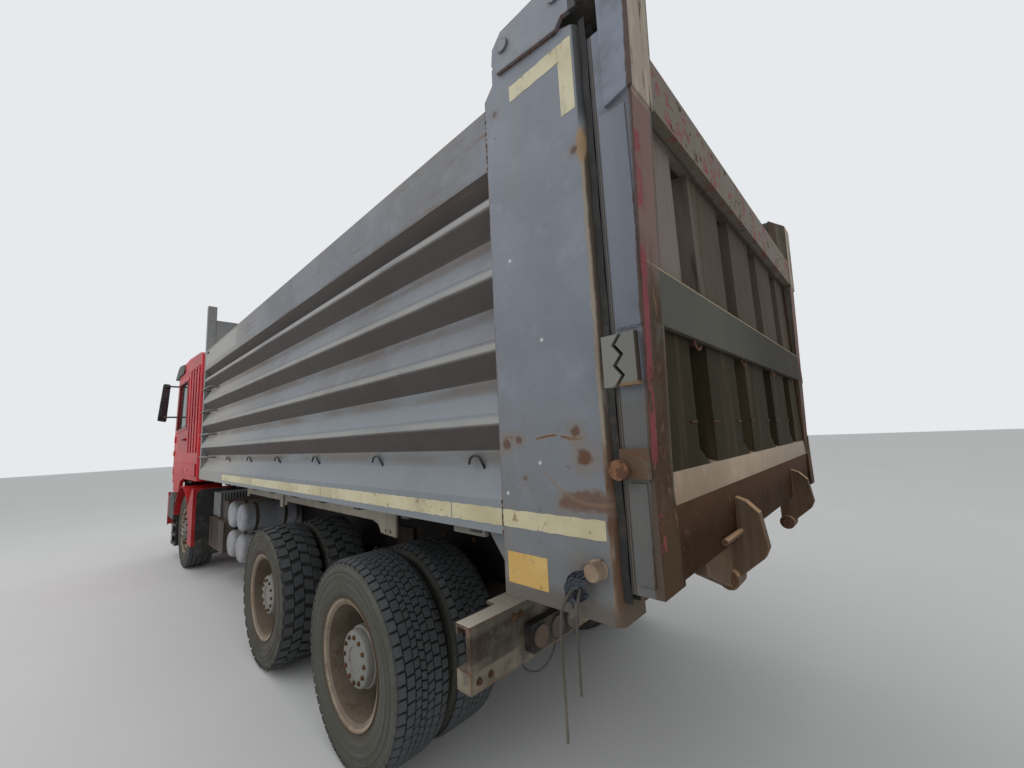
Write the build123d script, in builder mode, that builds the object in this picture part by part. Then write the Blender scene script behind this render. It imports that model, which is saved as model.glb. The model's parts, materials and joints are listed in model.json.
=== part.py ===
from build123d import *
import os
from math import atan2, cos, degrees, hypot, pi, radians, sin

os.makedirs("parts", exist_ok=True)

# A three-axle tipper truck with a cab over its engine, a corrugated steel bed and a top-hung tailgate.
# Millimetres. X points to the vehicle's left, Y to its rear and Z up. The ground is at Z 0.

# Running gear
TYRE_R = 500.0
TYRE_W = 290.0
RIM_R = 305.0
RIM_SEAT_R = 284.0
REAR_AXLE_Y = 2420.0
TANDEM = 1450.0
WHEELBASE = 3920.0
DUAL_OUT_X = 1100.0
DUAL_STEP = 335.0
FRONT_X = 1030.0
KINGPIN_X = 870.0
SPINDLE_R = 45.0
STUB_R = 38.0
STEER_ARM = 200.0
TIE_PIN_R = 12.0
MID_AXLE_Y = REAR_AXLE_Y - TANDEM
FRONT_AXLE_Y = MID_AXLE_Y - WHEELBASE
BOGIE_Y = REAR_AXLE_Y - TANDEM / 2

# Frame
RAIL_X = 425.0
RAIL_H = 280.0
RAIL_FLANGE = 80.0
RAIL_T = 10.0
FRAME_TOP = 1000.0
FRAME_FRONT = -3960.0
FRAME_REAR = 3268.0
SUB_H = 80.0
SUB_W = 70.0

# Bed
HALF_W = 1250.0
BED_FRONT = -1500.0
POST_FRONT = 3610.0
POST_REAR = 4031.0
POST_T = 130.0
FLOOR_Z = 1300.0
FLOOR_T = 10.0
SIDE_TOP = 2845.0
SIDE_T = 10.0
RECESS = 60.0
RIDGES = (2460.0, 2187.0, 1915.0, 1654.0)
RAIL_BAND_BOTTOM = 2595.0
BEAM_W = 70.0
BED_CLEAR = 5.0
BED_PIN_Y = 3270.0
BED_PIN_Z = 1100.0
BED_PIN_R = 32.0

# Tailgate
GATE_FRONT = 4064.0
GATE_REAR = 4165.0
GATE_LEAN = 0.0385
GATE_REF_Z = 2000.0
GATE_BOTTOM = 1195.0
GATE_TOP = 2735.0
GATE_PIN_Y = 3967.0
GATE_PIN_Z = 3026.0
GATE_PIN_R = 25.0
FRONT_PIN_Y = 3730.0
GATE_IN_X = HALF_W - POST_T
GATE_SHEET_T = 8.0
GATE_BEAM_T = 75.0
TOP_BEAM = (2571.0, GATE_TOP)
MID_BEAM = (1896.0, 2062.0)
LEDGE_REAR_Z = 1395.0
LEDGE_FRONT_Z = 1490.0
RIB_PITCH = GATE_IN_X * 0.464
RIB_HALF = 175.0
RIB_DEPTH = 71.0
ARM_BOTTOM = 2530.0
ARM_FRONT = GATE_FRONT + 44
GUIDE_Z = (1722.0, 1862.0)
GUIDE_Y = (4045.0, 4085.0, 4097.0, 4145.0)
GUIDE_PROUD = 24.0
GUIDE_CLEAR = 6.5
LOCK_PIN = (4074.0, 1507.0)

# Cab
CAB_HALF = 1200.0
CAB_REAR = -2030.0
CAB_FRONT = -4120.0
CAB_ROOF = 2980.0
CAB_FLOOR = 1275.0
CAB_WALL = 45.0
DOOR_FRONT = -3940.0
DOOR_REAR = -2930.0
DOOR_GAP = 7.0
CAB_PIN_Y = -3990.0
CAB_PIN_Z = 1050.0
CAB_PIN_R = 25.0
CAB_BOTTOM = 1230.0
CAB_FRONT_BOTTOM = 1130.0
DRIVER_X = CAB_HALF - 580
BUMPER_FRONT = -4219.0
BUMPER_REAR = -4110.0
BUMPER_HALF = 1225.0
BUMPER_TOP = 975.0

# Hoist
HOIST_Y = -1880.0
HOIST_Z = 830.0
HOIST_EYE_Z = 2120.0
HOIST_R = (95.0, 80.0, 66.0, 52.0, 39.0)
TRUNNION_R = 30.0
CRADLE_L = 360.0
BARREL_TOP = HOIST_EYE_Z - 170

# Clearances
RUN = 1.0
PIN_FIT = 0.5


def keep(builder, name):
    """Label a finished piece and write its STEP file."""
    builder.part.label = name
    export_step(builder.part, f"parts/{name}.step")
    print(name, round(builder.part.volume / 1e9, 4))


def gate_rear(z):
    """Rear face of the tailgate at a height: the gate is thicker towards its top."""
    return GATE_REAR + GATE_LEAN * (z - GATE_REF_Z)


def block(x0, x1, y0, y1, z0, z1, mode=Mode.ADD):
    """A box given by its six faces."""
    with Locations(((x0 + x1) / 2, (y0 + y1) / 2, (z0 + z1) / 2)):
        Box(abs(x1 - x0), abs(y1 - y0), abs(z1 - z0), mode=mode)


def rod(x0, x1, y, z, r, mode=Mode.ADD):
    """A round bar along X."""
    with Locations(Location(((x0 + x1) / 2, y, z), (0, 90, 0))):
        Cylinder(r, abs(x1 - x0), mode=mode)


def plate_yz(points, x0, x1, mode=Mode.ADD):
    """A flat plate: an outline of (y, z) points, extruded from x0 to x1."""
    with BuildSketch(Plane.YZ.offset(min(x0, x1))) as outline:
        with BuildLine():
            Polyline(*points, close=True)
        make_face()
    extrude(outline.sketch, amount=abs(x1 - x0), mode=mode)


def prism_y(points, y0, y1, mode=Mode.ADD):
    """An outline of (x, z) points, extruded from y0 to y1."""
    with BuildSketch(Plane.XZ.offset(-min(y0, y1))) as outline:
        with BuildLine():
            Polyline(*points, close=True)
        make_face()
    extrude(outline.sketch, amount=-abs(y1 - y0), mode=mode)


# Frame rails with their cross members
with BuildPart() as chassis_frame:
    z0 = FRAME_TOP - RAIL_H
    for side in (1, -1):
        web = [(side * RAIL_X, z0), (side * RAIL_X, FRAME_TOP),
               (side * (RAIL_X - RAIL_FLANGE), FRAME_TOP),
               (side * (RAIL_X - RAIL_FLANGE), FRAME_TOP - RAIL_T),
               (side * (RAIL_X - RAIL_T), FRAME_TOP - RAIL_T),
               (side * (RAIL_X - RAIL_T), z0 + RAIL_T),
               (side * (RAIL_X - RAIL_FLANGE), z0 + RAIL_T),
               (side * (RAIL_X - RAIL_FLANGE), z0)]
        prism_y(web, FRAME_FRONT, FRAME_REAR)
        x_in = side * (RAIL_X - SUB_W)
        block(x_in, side * RAIL_X, BED_FRONT, FRAME_REAR, FRAME_TOP, FRAME_TOP + SUB_H)
    for y in (FRAME_FRONT + 90, -1250, MID_AXLE_Y - 600, BOGIE_Y, REAR_AXLE_Y + 500, FRAME_REAR - 40):
        block(-RAIL_X + RAIL_T, RAIL_X - RAIL_T, y - 35, y + 35, z0 + 60, FRAME_TOP - 60)
    for side in (1, -1):
        ear = [(BED_PIN_Y - 320, 860), (BED_PIN_Y - 320, 960), (BED_PIN_Y - 45, BED_PIN_Z + 40),
               (BED_PIN_Y + 45, BED_PIN_Z + 40), (BED_PIN_Y + 70, 960), (BED_PIN_Y - 2, 950),
               (BED_PIN_Y - 60, 860)]
        plate_yz(ear, side * RAIL_X, side * (RAIL_X + 25))
        rod(side * (RAIL_X + 5), side * (RAIL_X + 80), BED_PIN_Y, BED_PIN_Z, BED_PIN_R)

    # cab mounts: pivot brackets at the front, rests at the rear
    for side in (1, -1):
        ear = [(CAB_PIN_Y + 30, 880), (CAB_PIN_Y - 50, CAB_PIN_Z - 20), (CAB_PIN_Y - 30, CAB_PIN_Z + 35),
               (CAB_PIN_Y + 30, CAB_PIN_Z + 35), (CAB_PIN_Y + 110, FRAME_TOP), (CAB_PIN_Y + 110, 880)]
        plate_yz(ear, side * RAIL_X, side * (RAIL_X + 20))
        rod(side * (RAIL_X + 5), side * (RAIL_X + 70), CAB_PIN_Y, CAB_PIN_Z, CAB_PIN_R)
        block(side * (RAIL_X - 60), side * (RAIL_X + 40), CAB_REAR - 110, CAB_REAR - 50, FRAME_TOP,
              CAB_BOTTOM - 0.3)
    # cradle of the hoist: two bearing plates between two cross members
    for y in (HOIST_Y - CRADLE_L / 2, HOIST_Y + CRADLE_L / 2):
        block(-RAIL_X + RAIL_T, RAIL_X - RAIL_T, y - 25, y + 25, HOIST_Z - 65, HOIST_Z + 75)
    for side in (1, -1):
        x_in = side * (HOIST_R[0] + 17)
        x_out = side * (HOIST_R[0] + 47)
        block(x_in, x_out, HOIST_Y - CRADLE_L / 2, HOIST_Y + CRADLE_L / 2, HOIST_Z - 65, HOIST_Z + 60)
        rod(x_in, x_out, HOIST_Y, HOIST_Z, TRUNNION_R + PIN_FIT, mode=Mode.SUBTRACT)
keep(chassis_frame, "chassis_frame")

# Front axle beam: drop-forged, with its ends at the kingpins
with BuildPart() as front_axle:
    drop = [(-KINGPIN_X + 45, TYRE_R - 45), (-KINGPIN_X + 45, TYRE_R + 40), (-690, TYRE_R + 40),
            (-570, TYRE_R - 42), (570, TYRE_R - 42), (690, TYRE_R + 40), (KINGPIN_X - 45, TYRE_R + 40),
            (KINGPIN_X - 45, TYRE_R - 45), (690, TYRE_R - 45), (540, TYRE_R - 140),
            (-540, TYRE_R - 140), (-690, TYRE_R - 45)]
    prism_y(drop, FRONT_AXLE_Y - 50, FRONT_AXLE_Y + 50)
    for side in (1, -1):
        with Locations((side * KINGPIN_X, FRONT_AXLE_Y, TYRE_R)):
            Cylinder(48, 100)
            Cylinder(24, 236)
keep(front_axle, "front_axle")

# Steering knuckles: a fork round the end of the beam and the stub that carries the hub
for side, word in ((1, "left"), (-1, "right")):
    with BuildPart() as knuckle:
        for z in (TYRE_R - 110, TYRE_R + 55):
            with Locations((side * KINGPIN_X, FRONT_AXLE_Y, z + 27.5)):
                Cylinder(46, 55)
        block(side * (KINGPIN_X + 52), side * (KINGPIN_X + 80), FRONT_AXLE_Y - 60, FRONT_AXLE_Y + 60,
              TYRE_R - 110, TYRE_R + 110)
        for z in (TYRE_R - 110, TYRE_R + 55):
            block(side * KINGPIN_X, side * (KINGPIN_X + 60), FRONT_AXLE_Y - 40, FRONT_AXLE_Y + 40, z, z + 55)
        for z in (TYRE_R - 110, TYRE_R + 55):
            with Locations((side * KINGPIN_X, FRONT_AXLE_Y, z + 27.5)):
                Cylinder(24 + PIN_FIT, 60, mode=Mode.SUBTRACT)
        rod(side * (KINGPIN_X + 78), side * (FRONT_X + 60), FRONT_AXLE_Y, TYRE_R, STUB_R)
        block(side * (KINGPIN_X - 22), side * (KINGPIN_X + 22), FRONT_AXLE_Y + 30, FRONT_AXLE_Y + STEER_ARM,
              TYRE_R - 110, TYRE_R - 80)
        with Locations((side * KINGPIN_X, FRONT_AXLE_Y + STEER_ARM, TYRE_R - 95)):
            Cylinder(24, 30)
            Cylinder(TIE_PIN_R + PIN_FIT, 60, mode=Mode.SUBTRACT)
    keep(knuckle, f"knuckle_{word}")

# Tie rod between the two steering arms
with BuildPart() as tie_rod:
    rod(-KINGPIN_X, KINGPIN_X, FRONT_AXLE_Y + STEER_ARM, TYRE_R - 145, 18)
    for side in (1, -1):
        with Locations((side * KINGPIN_X, FRONT_AXLE_Y + STEER_ARM, TYRE_R - 145)):
            Cylinder(26, 50)
        with Locations((side * KINGPIN_X, FRONT_AXLE_Y + STEER_ARM, TYRE_R - 105)):
            Cylinder(TIE_PIN_R, 60)
keep(tie_rod, "tie_rod")

# Front leaf springs with their hangers: curved leaves, each shorter than the one above
LEAF_T = 17.0
with BuildPart() as front_springs:
    for side in (1, -1):
        x0, x1 = side * 455, side * 535
        for i in range(4):
            reach = 760 - i * 165
            z_mid = TYRE_R + 100 - i * LEAF_T
            z_end = z_mid + 205 * (reach / 760) ** 2
            y0, y1 = FRONT_AXLE_Y - reach, FRONT_AXLE_Y + reach
            with BuildSketch(Plane.YZ.offset(min(x0, x1))):
                with BuildLine():
                    low = ThreePointArc((y0, z_end), (FRONT_AXLE_Y, z_mid), (y1, z_end))
                    high = ThreePointArc((y0, z_end + LEAF_T), (FRONT_AXLE_Y, z_mid + LEAF_T),
                                         (y1, z_end + LEAF_T))
                    Line(low @ 0, high @ 0)
                    Line(low @ 1, high @ 1)
                make_face()
            extrude(amount=80)
        for y in (FRONT_AXLE_Y - 760, FRONT_AXLE_Y + 760):
            rod(side * RAIL_X, x1, y, FRAME_TOP - 187, 30)
            hanger = [(y - 60, FRAME_TOP - 60), (y - 35, FRAME_TOP - 225), (y + 35, FRAME_TOP - 225),
                      (y + 60, FRAME_TOP - 60)]
            plate_yz(hanger, side * RAIL_X, side * (RAIL_X + 28))
        block(x0, x1, FRONT_AXLE_Y - 60, FRONT_AXLE_Y + 60, TYRE_R - 42, TYRE_R + 105)
keep(front_springs, "front_springs")

# Rear axle housings with their differentials
with BuildPart() as rear_axles:
    banjo = [(-960, 0), (-960, SPINDLE_R), (-640, SPINDLE_R), (-640, 70), (-400, 70), (-170, 185), (170, 185),
             (400, 70), (640, 70), (640, SPINDLE_R), (960, SPINDLE_R), (960, 0)]
    for y in (MID_AXLE_Y, REAR_AXLE_Y):
        with BuildSketch(Plane(origin=(0, y, TYRE_R), x_dir=(1, 0, 0), z_dir=(0, -1, 0))):
            with BuildLine():
                Polyline(*banjo, close=True)
            make_face()
        revolve(axis=Axis((0, y, TYRE_R), (1, 0, 0)))
keep(rear_axles, "rear_axles")

# Bogie springs: inverted leaf packs on a centre trunnion
with BuildPart() as bogie_springs:
    rod(-560, 560, BOGIE_Y, 620, 60)
    for side in (1, -1):
        x0, x1 = side * 445, side * 545
        leaves = [(MID_AXLE_Y - 60, TYRE_R + 72), (BOGIE_Y, TYRE_R + 130), (REAR_AXLE_Y + 60, TYRE_R + 72),
                  (REAR_AXLE_Y + 60, TYRE_R + 105), (BOGIE_Y + 150, TYRE_R + 290),
                  (BOGIE_Y - 150, TYRE_R + 290), (MID_AXLE_Y - 60, TYRE_R + 105)]
        plate_yz(leaves, x0, x1)
        for y in (MID_AXLE_Y, REAR_AXLE_Y):
            block(x0, x1, y - 60, y + 60, TYRE_R, TYRE_R + 75)
            rod(x0, x1, y, TYRE_R, 70.3, mode=Mode.SUBTRACT)
        block(side * RAIL_X, side * 445, BOGIE_Y - 120, BOGIE_Y + 120, TYRE_R + 60, FRAME_TOP - 60)
keep(bogie_springs, "bogie_springs")

# Engine, gearbox and radiator, as one plain block on two mounts
ENGINE_HALF = 330.0
ENGINE_Y = (-3460.0, -2420.0)
ENGINE_Z = (680.0, 1215.0)
GEARBOX_END = -2120.0
RADIATOR_Y = (-3800.0, -3740.0)
SHAFT_Z = 680.0
with BuildPart() as engine_block:
    block(-ENGINE_HALF, ENGINE_HALF, *ENGINE_Y, *ENGINE_Z)
    block(-210, 210, ENGINE_Y[1], GEARBOX_END, 600, 900)
    block(-300, 300, *RADIATOR_Y, 580, 1110)
    block(-250, 250, RADIATOR_Y[1], ENGINE_Y[0], 740, 1090)
    for side in (1, -1):
        block(side * ENGINE_HALF, side * (RAIL_X - RAIL_T), -3060, -2960, 770, 850)
keep(engine_block, "engine_block")

# Propeller shafts, from gearbox to middle axle and from there to the rear one: (front end, rear end, radius)
SHAFTS = ((GEARBOX_END + 4.2, MID_AXLE_Y - 185.8, 50), (MID_AXLE_Y + 185.3, REAR_AXLE_Y - 185.3, 45))
with BuildPart() as drive_shafts:
    for y0, y1, r in SHAFTS:
        z_start = SHAFT_Z if y0 < 0 else TYRE_R
        length = hypot(y1 - y0, TYRE_R - z_start)
        tilt = degrees(atan2(TYRE_R - z_start, y1 - y0))
        with Locations(Location((0, (y0 + y1) / 2, (z_start + TYRE_R) / 2), (-90 + tilt, 0, 0))):
            Cylinder(r, length)
keep(drive_shafts, "drive_shafts")

# Air tanks: two by two, across the frame behind the cab on the left
AIR_R = 145.0
AIR_Y = (CAB_REAR + 1020, CAB_REAR + 1410)
AIR_Z = (880.0, 560.0)
with BuildPart() as air_tanks:
    for y in AIR_Y:
        for z in AIR_Z:
            rod(480, 1035, y, z, AIR_R)
    fillet(air_tanks.edges().filter_by(GeomType.CIRCLE), 48)
    for y in AIR_Y:
        block(RAIL_X, 500, y - 60, y + 60, 460, 980)
keep(air_tanks, "air_tanks")

# Box tank on the left behind the front wheel, with a finned box and a plain box on it
BOX_X = 1050.0
BOX_Y = (CAB_REAR + 60, CAB_REAR + 800)
BOX_Z = (420.0, 780.0)
FIN_PITCH = 62.0
FINS = 6
with BuildPart() as side_tank_left:
    block(RAIL_X, BOX_X, *BOX_Y, *BOX_Z)
    fillet(side_tank_left.edges().filter_by(Axis.X), 35)
    y_mid = BOX_Y[0] + 10 + FINS * FIN_PITCH
    block(500, BOX_X - 50, y_mid + 28, BOX_Y[1] - 36, BOX_Z[1] - 1, 1000)
    block(RAIL_X, 520, *BOX_Y, BOX_Z[1] - 40, 990)
    for i in range(FINS):
        y = BOX_Y[0] + 36 + i * FIN_PITCH
        block(520, BOX_X - 30, y, y + 30, BOX_Z[1] + 20, 1080)
    block(500, BOX_X - 50, BOX_Y[0] + 36, y_mid, BOX_Z[1] - 1, 1060)
keep(side_tank_left, "side_tank_left")

# Fuel tank on the right, hung on two brackets, with its filler cap
FUEL_Y = (-2000.0, -600.0)
FUEL_AT = (-760.0, 690.0)
FUEL_SIZE = (600.0, 560.0)
with BuildPart() as fuel_tank:
    with BuildSketch(Plane.XZ.offset(-FUEL_Y[0])):
        with Locations(FUEL_AT):
            RectangleRounded(*FUEL_SIZE, 80)
    extrude(amount=FUEL_Y[0] - FUEL_Y[1])
    for y in (FUEL_Y[0] + 200, FUEL_Y[1] - 300):
        block(-462, -RAIL_X - 0.3, y - 40, y + 40, 450, 960)
    with Locations((FUEL_AT[0] - 120, FUEL_Y[0] + 330, FUEL_AT[1] + FUEL_SIZE[1] / 2)):
        Cylinder(55, 70)
keep(fuel_tank, "fuel_tank")

# Rear underrun guard on two hangers: a low bar, a plate above it and a wide flange on top
UNDER_Y = 3275.0
UNDER_REAR = UNDER_Y + 80
UNDER_TOP = 905.0
with BuildPart() as rear_underrun:
    block(-1200, 1200, UNDER_Y, UNDER_REAR, 668, 742)
    block(-1196, 1196, UNDER_REAR - 26, UNDER_REAR, 740, UNDER_TOP)
    block(-1200, 1200, UNDER_Y, UNDER_REAR, UNDER_TOP - 12, UNDER_TOP)
    block(-1200, 1200, UNDER_Y, UNDER_Y + 10, UNDER_TOP - 40, UNDER_TOP)
    for side in (1, -1):
        block(side * (RAIL_X + 33), side * 986, UNDER_Y - 54, UNDER_Y, UNDER_TOP - 12, UNDER_TOP)
        block(side * (RAIL_X - RAIL_FLANGE), side * RAIL_X, FRAME_REAR, UNDER_REAR - 26, 740, UNDER_TOP - 12)
        for x in (620, 1000):
            block(side * (x - 6), side * (x + 6), UNDER_Y, UNDER_REAR - 26, 740, UNDER_TOP - 12)
keep(rear_underrun, "rear_underrun")

# Rear lamps on the underrun beam: a box with three round lenses a side
LAMP_X = (560.0, 900.0)
LAMP_Z = (705.0, 820.0)
with BuildPart() as rear_lamps:
    for side in (1, -1):
        block(side * LAMP_X[0], side * LAMP_X[1], UNDER_REAR, UNDER_REAR + 42, *LAMP_Z)
    fillet(rear_lamps.edges().filter_by(Axis.Y), 14)
    for side in (1, -1):
        for i in range(3):
            x = side * (LAMP_X[0] + 57 + i * 113)
            with Locations(Location((x, UNDER_REAR + 45, sum(LAMP_Z) / 2), (90, 0, 0))):
                Cylinder(44, 14)
keep(rear_lamps, "rear_lamps")


# Wheels and tyres
HUB_R = 132.0
HAND_HOLES = 8
HAND_HOLE_R = 20.0
HAND_HOLE_AT = 206.0
AXLES = (("front", FRONT_AXLE_Y, FRONT_X, False), ("mid", MID_AXLE_Y, DUAL_OUT_X, True),
         ("rear", REAR_AXLE_Y, DUAL_OUT_X, True))
for word, y, x_out, dual in AXLES:
    for side, hand in ((1, "left"), (-1, "right")):
        axis = Axis((0, y, TYRE_R), (1, 0, 0))
        wheel_plane = Plane(origin=(0, y, TYRE_R), x_dir=(1, 0, 0), z_dir=(0, -1, 0))
        centres = (x_out, x_out - DUAL_STEP) if dual else (x_out,)
        with BuildPart() as tyres:
            for x in centres:
                h = TYRE_W / 2
                c = side * x
                flank_r = (RIM_SEAT_R + TYRE_R) / 2
                with BuildSketch(wheel_plane):
                    with BuildLine():
                        p = Polyline((c - h * 0.72, RIM_SEAT_R), (c + h * 0.72, RIM_SEAT_R),
                                     (c + h * 0.84, RIM_R + 8))
                        a = ThreePointArc(p @ 1, (c + h, flank_r), (c + h * 0.9, TYRE_R - 25))
                        q = Polyline(a @ 1, (c + h * 0.78, TYRE_R), (c - h * 0.78, TYRE_R),
                                     (c - h * 0.9, TYRE_R - 25))
                        b = ThreePointArc(q @ 1, (c - h, flank_r), (c - h * 0.84, RIM_R + 8))
                        Line(b @ 1, p @ 0)
                    make_face()
                revolve(axis=axis)
        keep(tyres, f"tyre_{word}_{hand}")
        with BuildPart() as wheel:
            for x in centres:
                h = TYRE_W / 2
                c = side * x
                s = side
                outline = [(c + s * h * 0.72, RIM_SEAT_R - 0.5), (c + s * h * 0.84, RIM_R),
                           (c + s * h * 0.92, RIM_R), (c + s * h * 0.80, RIM_SEAT_R - 14),
                           (c - s * h * 0.80, RIM_SEAT_R - 14), (c - s * h * 0.92, RIM_R),
                           (c - s * h * 0.84, RIM_R), (c - s * h * 0.72, RIM_SEAT_R - 0.5)]
                with BuildSketch(wheel_plane):
                    with BuildLine():
                        Polyline(*outline, close=True)
                    make_face()
                revolve(axis=axis)
            # disc and hub
            if dual:
                disc_x = x_out - DUAL_STEP / 2
                hub = [(disc_x - 250, SPINDLE_R + PIN_FIT), (disc_x - 250, 205), (disc_x, 205), (disc_x, 235),
                       (x_out - 128, 270), (x_out - 105, 270), (disc_x + 22, 225), (disc_x + 22, HUB_R + 22),
                       (disc_x + 42, HUB_R), (disc_x + 118, HUB_R - 8), (disc_x + 128, 104), (disc_x + 140, 98),
                       (disc_x + 145, 88), (disc_x + 145, SPINDLE_R + PIN_FIT)]
                x_in = x_out - DUAL_STEP
                hub2 = [(disc_x - 22, 225), (x_in + 105, 270), (x_in + 128, 270), (disc_x, 235),
                        (disc_x, 200), (disc_x - 22, 200)]
                hubs = (hub, hub2)
            else:
                disc_x = x_out + 95
                hub = [(disc_x - 60, STUB_R + PIN_FIT), (disc_x - 60, 165), (disc_x, 170), (disc_x - 8, 240),
                       (x_out - 5, 271), (x_out + 20, 271), (disc_x + 14, 240), (disc_x + 20, 120),
                       (disc_x + 60, 100), (disc_x + 60, STUB_R + PIN_FIT)]
                hubs = (hub,)
            for outline in hubs:
                with BuildSketch(wheel_plane):
                    with BuildLine():
                        Polyline(*[(side * x, r) for x, r in outline], close=True)
                    make_face()
                revolve(axis=axis)
            # hand holes round the disc
            with Locations(Location((side * disc_x, y, TYRE_R), (0, 90, 0))):
                with PolarLocations(HAND_HOLE_AT, HAND_HOLES):
                    Cylinder(HAND_HOLE_R, 90 if dual else 80, mode=Mode.SUBTRACT)
            # end cap of the hub
            cap_x = (x_out - DUAL_STEP / 2 + 145) if dual else (x_out + 155)
            rod(side * (cap_x - 25), side * cap_x, y, TYRE_R, 61)
        keep(wheel, f"wheel_{word}_{hand}")

# Bed floor with its long beams, cross bearers and hinge ears
FLOOR_TOP = FLOOR_Z + FLOOR_T
BEARER_BOTTOM = 1200.0
BEAM_BOTTOM = FRAME_TOP + SUB_H + BED_CLEAR
with BuildPart() as bed_floor:
    block(-HALF_W + SIDE_T, HALF_W - SIDE_T, BED_FRONT + 20, POST_FRONT, FLOOR_Z, FLOOR_TOP)
    block(-HALF_W + POST_T, HALF_W - POST_T, POST_FRONT, POST_REAR, FLOOR_Z, FLOOR_TOP)
    for side in (1, -1):
        block(side * (RAIL_X - BEAM_W), side * RAIL_X, BED_FRONT + 20, BED_PIN_Y - 10, BEAM_BOTTOM, FLOOR_Z)
    bearers = 11
    for i in range(bearers):
        y = BED_FRONT + 120 + i * 480
        for side in (1, -1):
            wedge = [(side * RAIL_X, BEARER_BOTTOM), (side * (HALF_W - 40), FLOOR_Z - 40),
                     (side * (HALF_W - 40), FLOOR_Z), (side * RAIL_X, FLOOR_Z)]
            prism_y(wedge, y - 30, y + 30)
        block(-RAIL_X + BEAM_W, RAIL_X - BEAM_W, y - 30, y + 30, BEARER_BOTTOM, FLOOR_Z)
    for side in (1, -1):
        ear = [(BED_PIN_Y - 110, FLOOR_Z), (BED_PIN_Y - 55, BED_PIN_Z - 55), (BED_PIN_Y + 55, BED_PIN_Z - 55),
               (BED_PIN_Y + 110, FLOOR_Z)]
        plate_yz(ear, side * (RAIL_X + 32), side * (RAIL_X + 62))
        with Locations(Location((side * (RAIL_X + 47), BED_PIN_Y, BED_PIN_Z), (0, 90, 0))):
            Cylinder(BED_PIN_R + PIN_FIT, 40, mode=Mode.SUBTRACT)
    block(-HALF_W + POST_T, HALF_W - POST_T, 3900, POST_REAR, 1130, FLOOR_Z)
keep(bed_floor, "bed_floor")

# Corrugated side walls, with four ladder rungs on the left one
RUNG_L = 420.0
RUNG_R = 10.0
RUNG_OUT = 20.0
SLOPE_IN = 95.0
RECESS_FLAT = 25.0
SLOPE_OUT = 105.0
outer = [(HALF_W, RAIL_BAND_BOTTOM), (HALF_W - RECESS, RAIL_BAND_BOTTOM - 70), (HALF_W - 8, RIDGES[0] + 34)]
for i, z in enumerate(RIDGES):
    if i:
        outer.append((HALF_W, z + 36))
    else:
        outer.append((HALF_W, z + 16))
    outer.append((HALF_W, z))
    outer.append((HALF_W - RECESS, z - SLOPE_IN))
    if i < len(RIDGES) - 1:
        outer.append((HALF_W - RECESS, z - SLOPE_IN - RECESS_FLAT))
outer += [(HALF_W - RECESS, 1494), (HALF_W, 1394), (HALF_W, 1284)]
for side, hand in ((1, "left"), (-1, "right")):
    with BuildPart() as bed_side:
        inner = [(x - SIDE_T, z) for x, z in reversed(outer)]
        prism_y([(side * x, z) for x, z in outer + inner], BED_FRONT, POST_FRONT)
        block(side * (HALF_W - 80), side * HALF_W, BED_FRONT, POST_FRONT, RAIL_BAND_BOTTOM, SIDE_TOP)
        if side == 1:
            # ladder rungs across the recesses at the front corner
            rung_y = BED_FRONT + 30
            for z in RIDGES:
                for y in (rung_y, rung_y + RUNG_L):
                    rod(HALF_W - RECESS - 4, HALF_W + RUNG_OUT, y, z - 112, RUNG_R)
                with Locations(Location((HALF_W + RUNG_OUT, rung_y + RUNG_L / 2, z - 112), (90, 0, 0))):
                    Cylinder(RUNG_R, RUNG_L + 2 * RUNG_R)
    keep(bed_side, f"bed_side_{hand}")

# Headboard with its tall corner posts and the clevis for the hoist
EYE_W = 70.0
with BuildPart() as bed_headboard:
    block(-HALF_W + 90, HALF_W - 90, BED_FRONT, BED_FRONT + 20, 1284, 3250)
    for side in (1, -1):
        block(side * (HALF_W - 90), side * HALF_W, BED_FRONT - 70, BED_FRONT - 0.3, 1284, 3430)
        block(side * (HALF_W - 90), side * (HALF_W - 120), BED_FRONT - 70, BED_FRONT, 1284, 3250)
        block(side * 560, side * 640, BED_FRONT - 60, BED_FRONT, 1284, 3250)
    block(-HALF_W + 120, HALF_W - 120, BED_FRONT - 60, BED_FRONT, 3170, 3250)
    for side in (1, -1):
        cheek = [(BED_FRONT, HOIST_EYE_Z - 60), (HOIST_Y - 60, HOIST_EYE_Z - 60),
                 (HOIST_Y - 60, HOIST_EYE_Z + 60), (BED_FRONT, HOIST_EYE_Z + 320)]
        plate_yz(cheek, side * (EYE_W / 2 + 10), side * (EYE_W / 2 + 35))
keep(bed_headboard, "bed_headboard")

POST_CORNER_R = 25.0


def guide_half(y_flat, y_teeth):
    """Outline of half a guide block: a flat edge, and an edge with two teeth."""
    low, high = GUIDE_Z
    step = (high - low) / 5
    teeth = [(y_teeth + (11 if i % 2 else -11), low + i * step) for i in range(6)]
    return [(y_flat, low), *teeth, (y_flat, high)]


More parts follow.
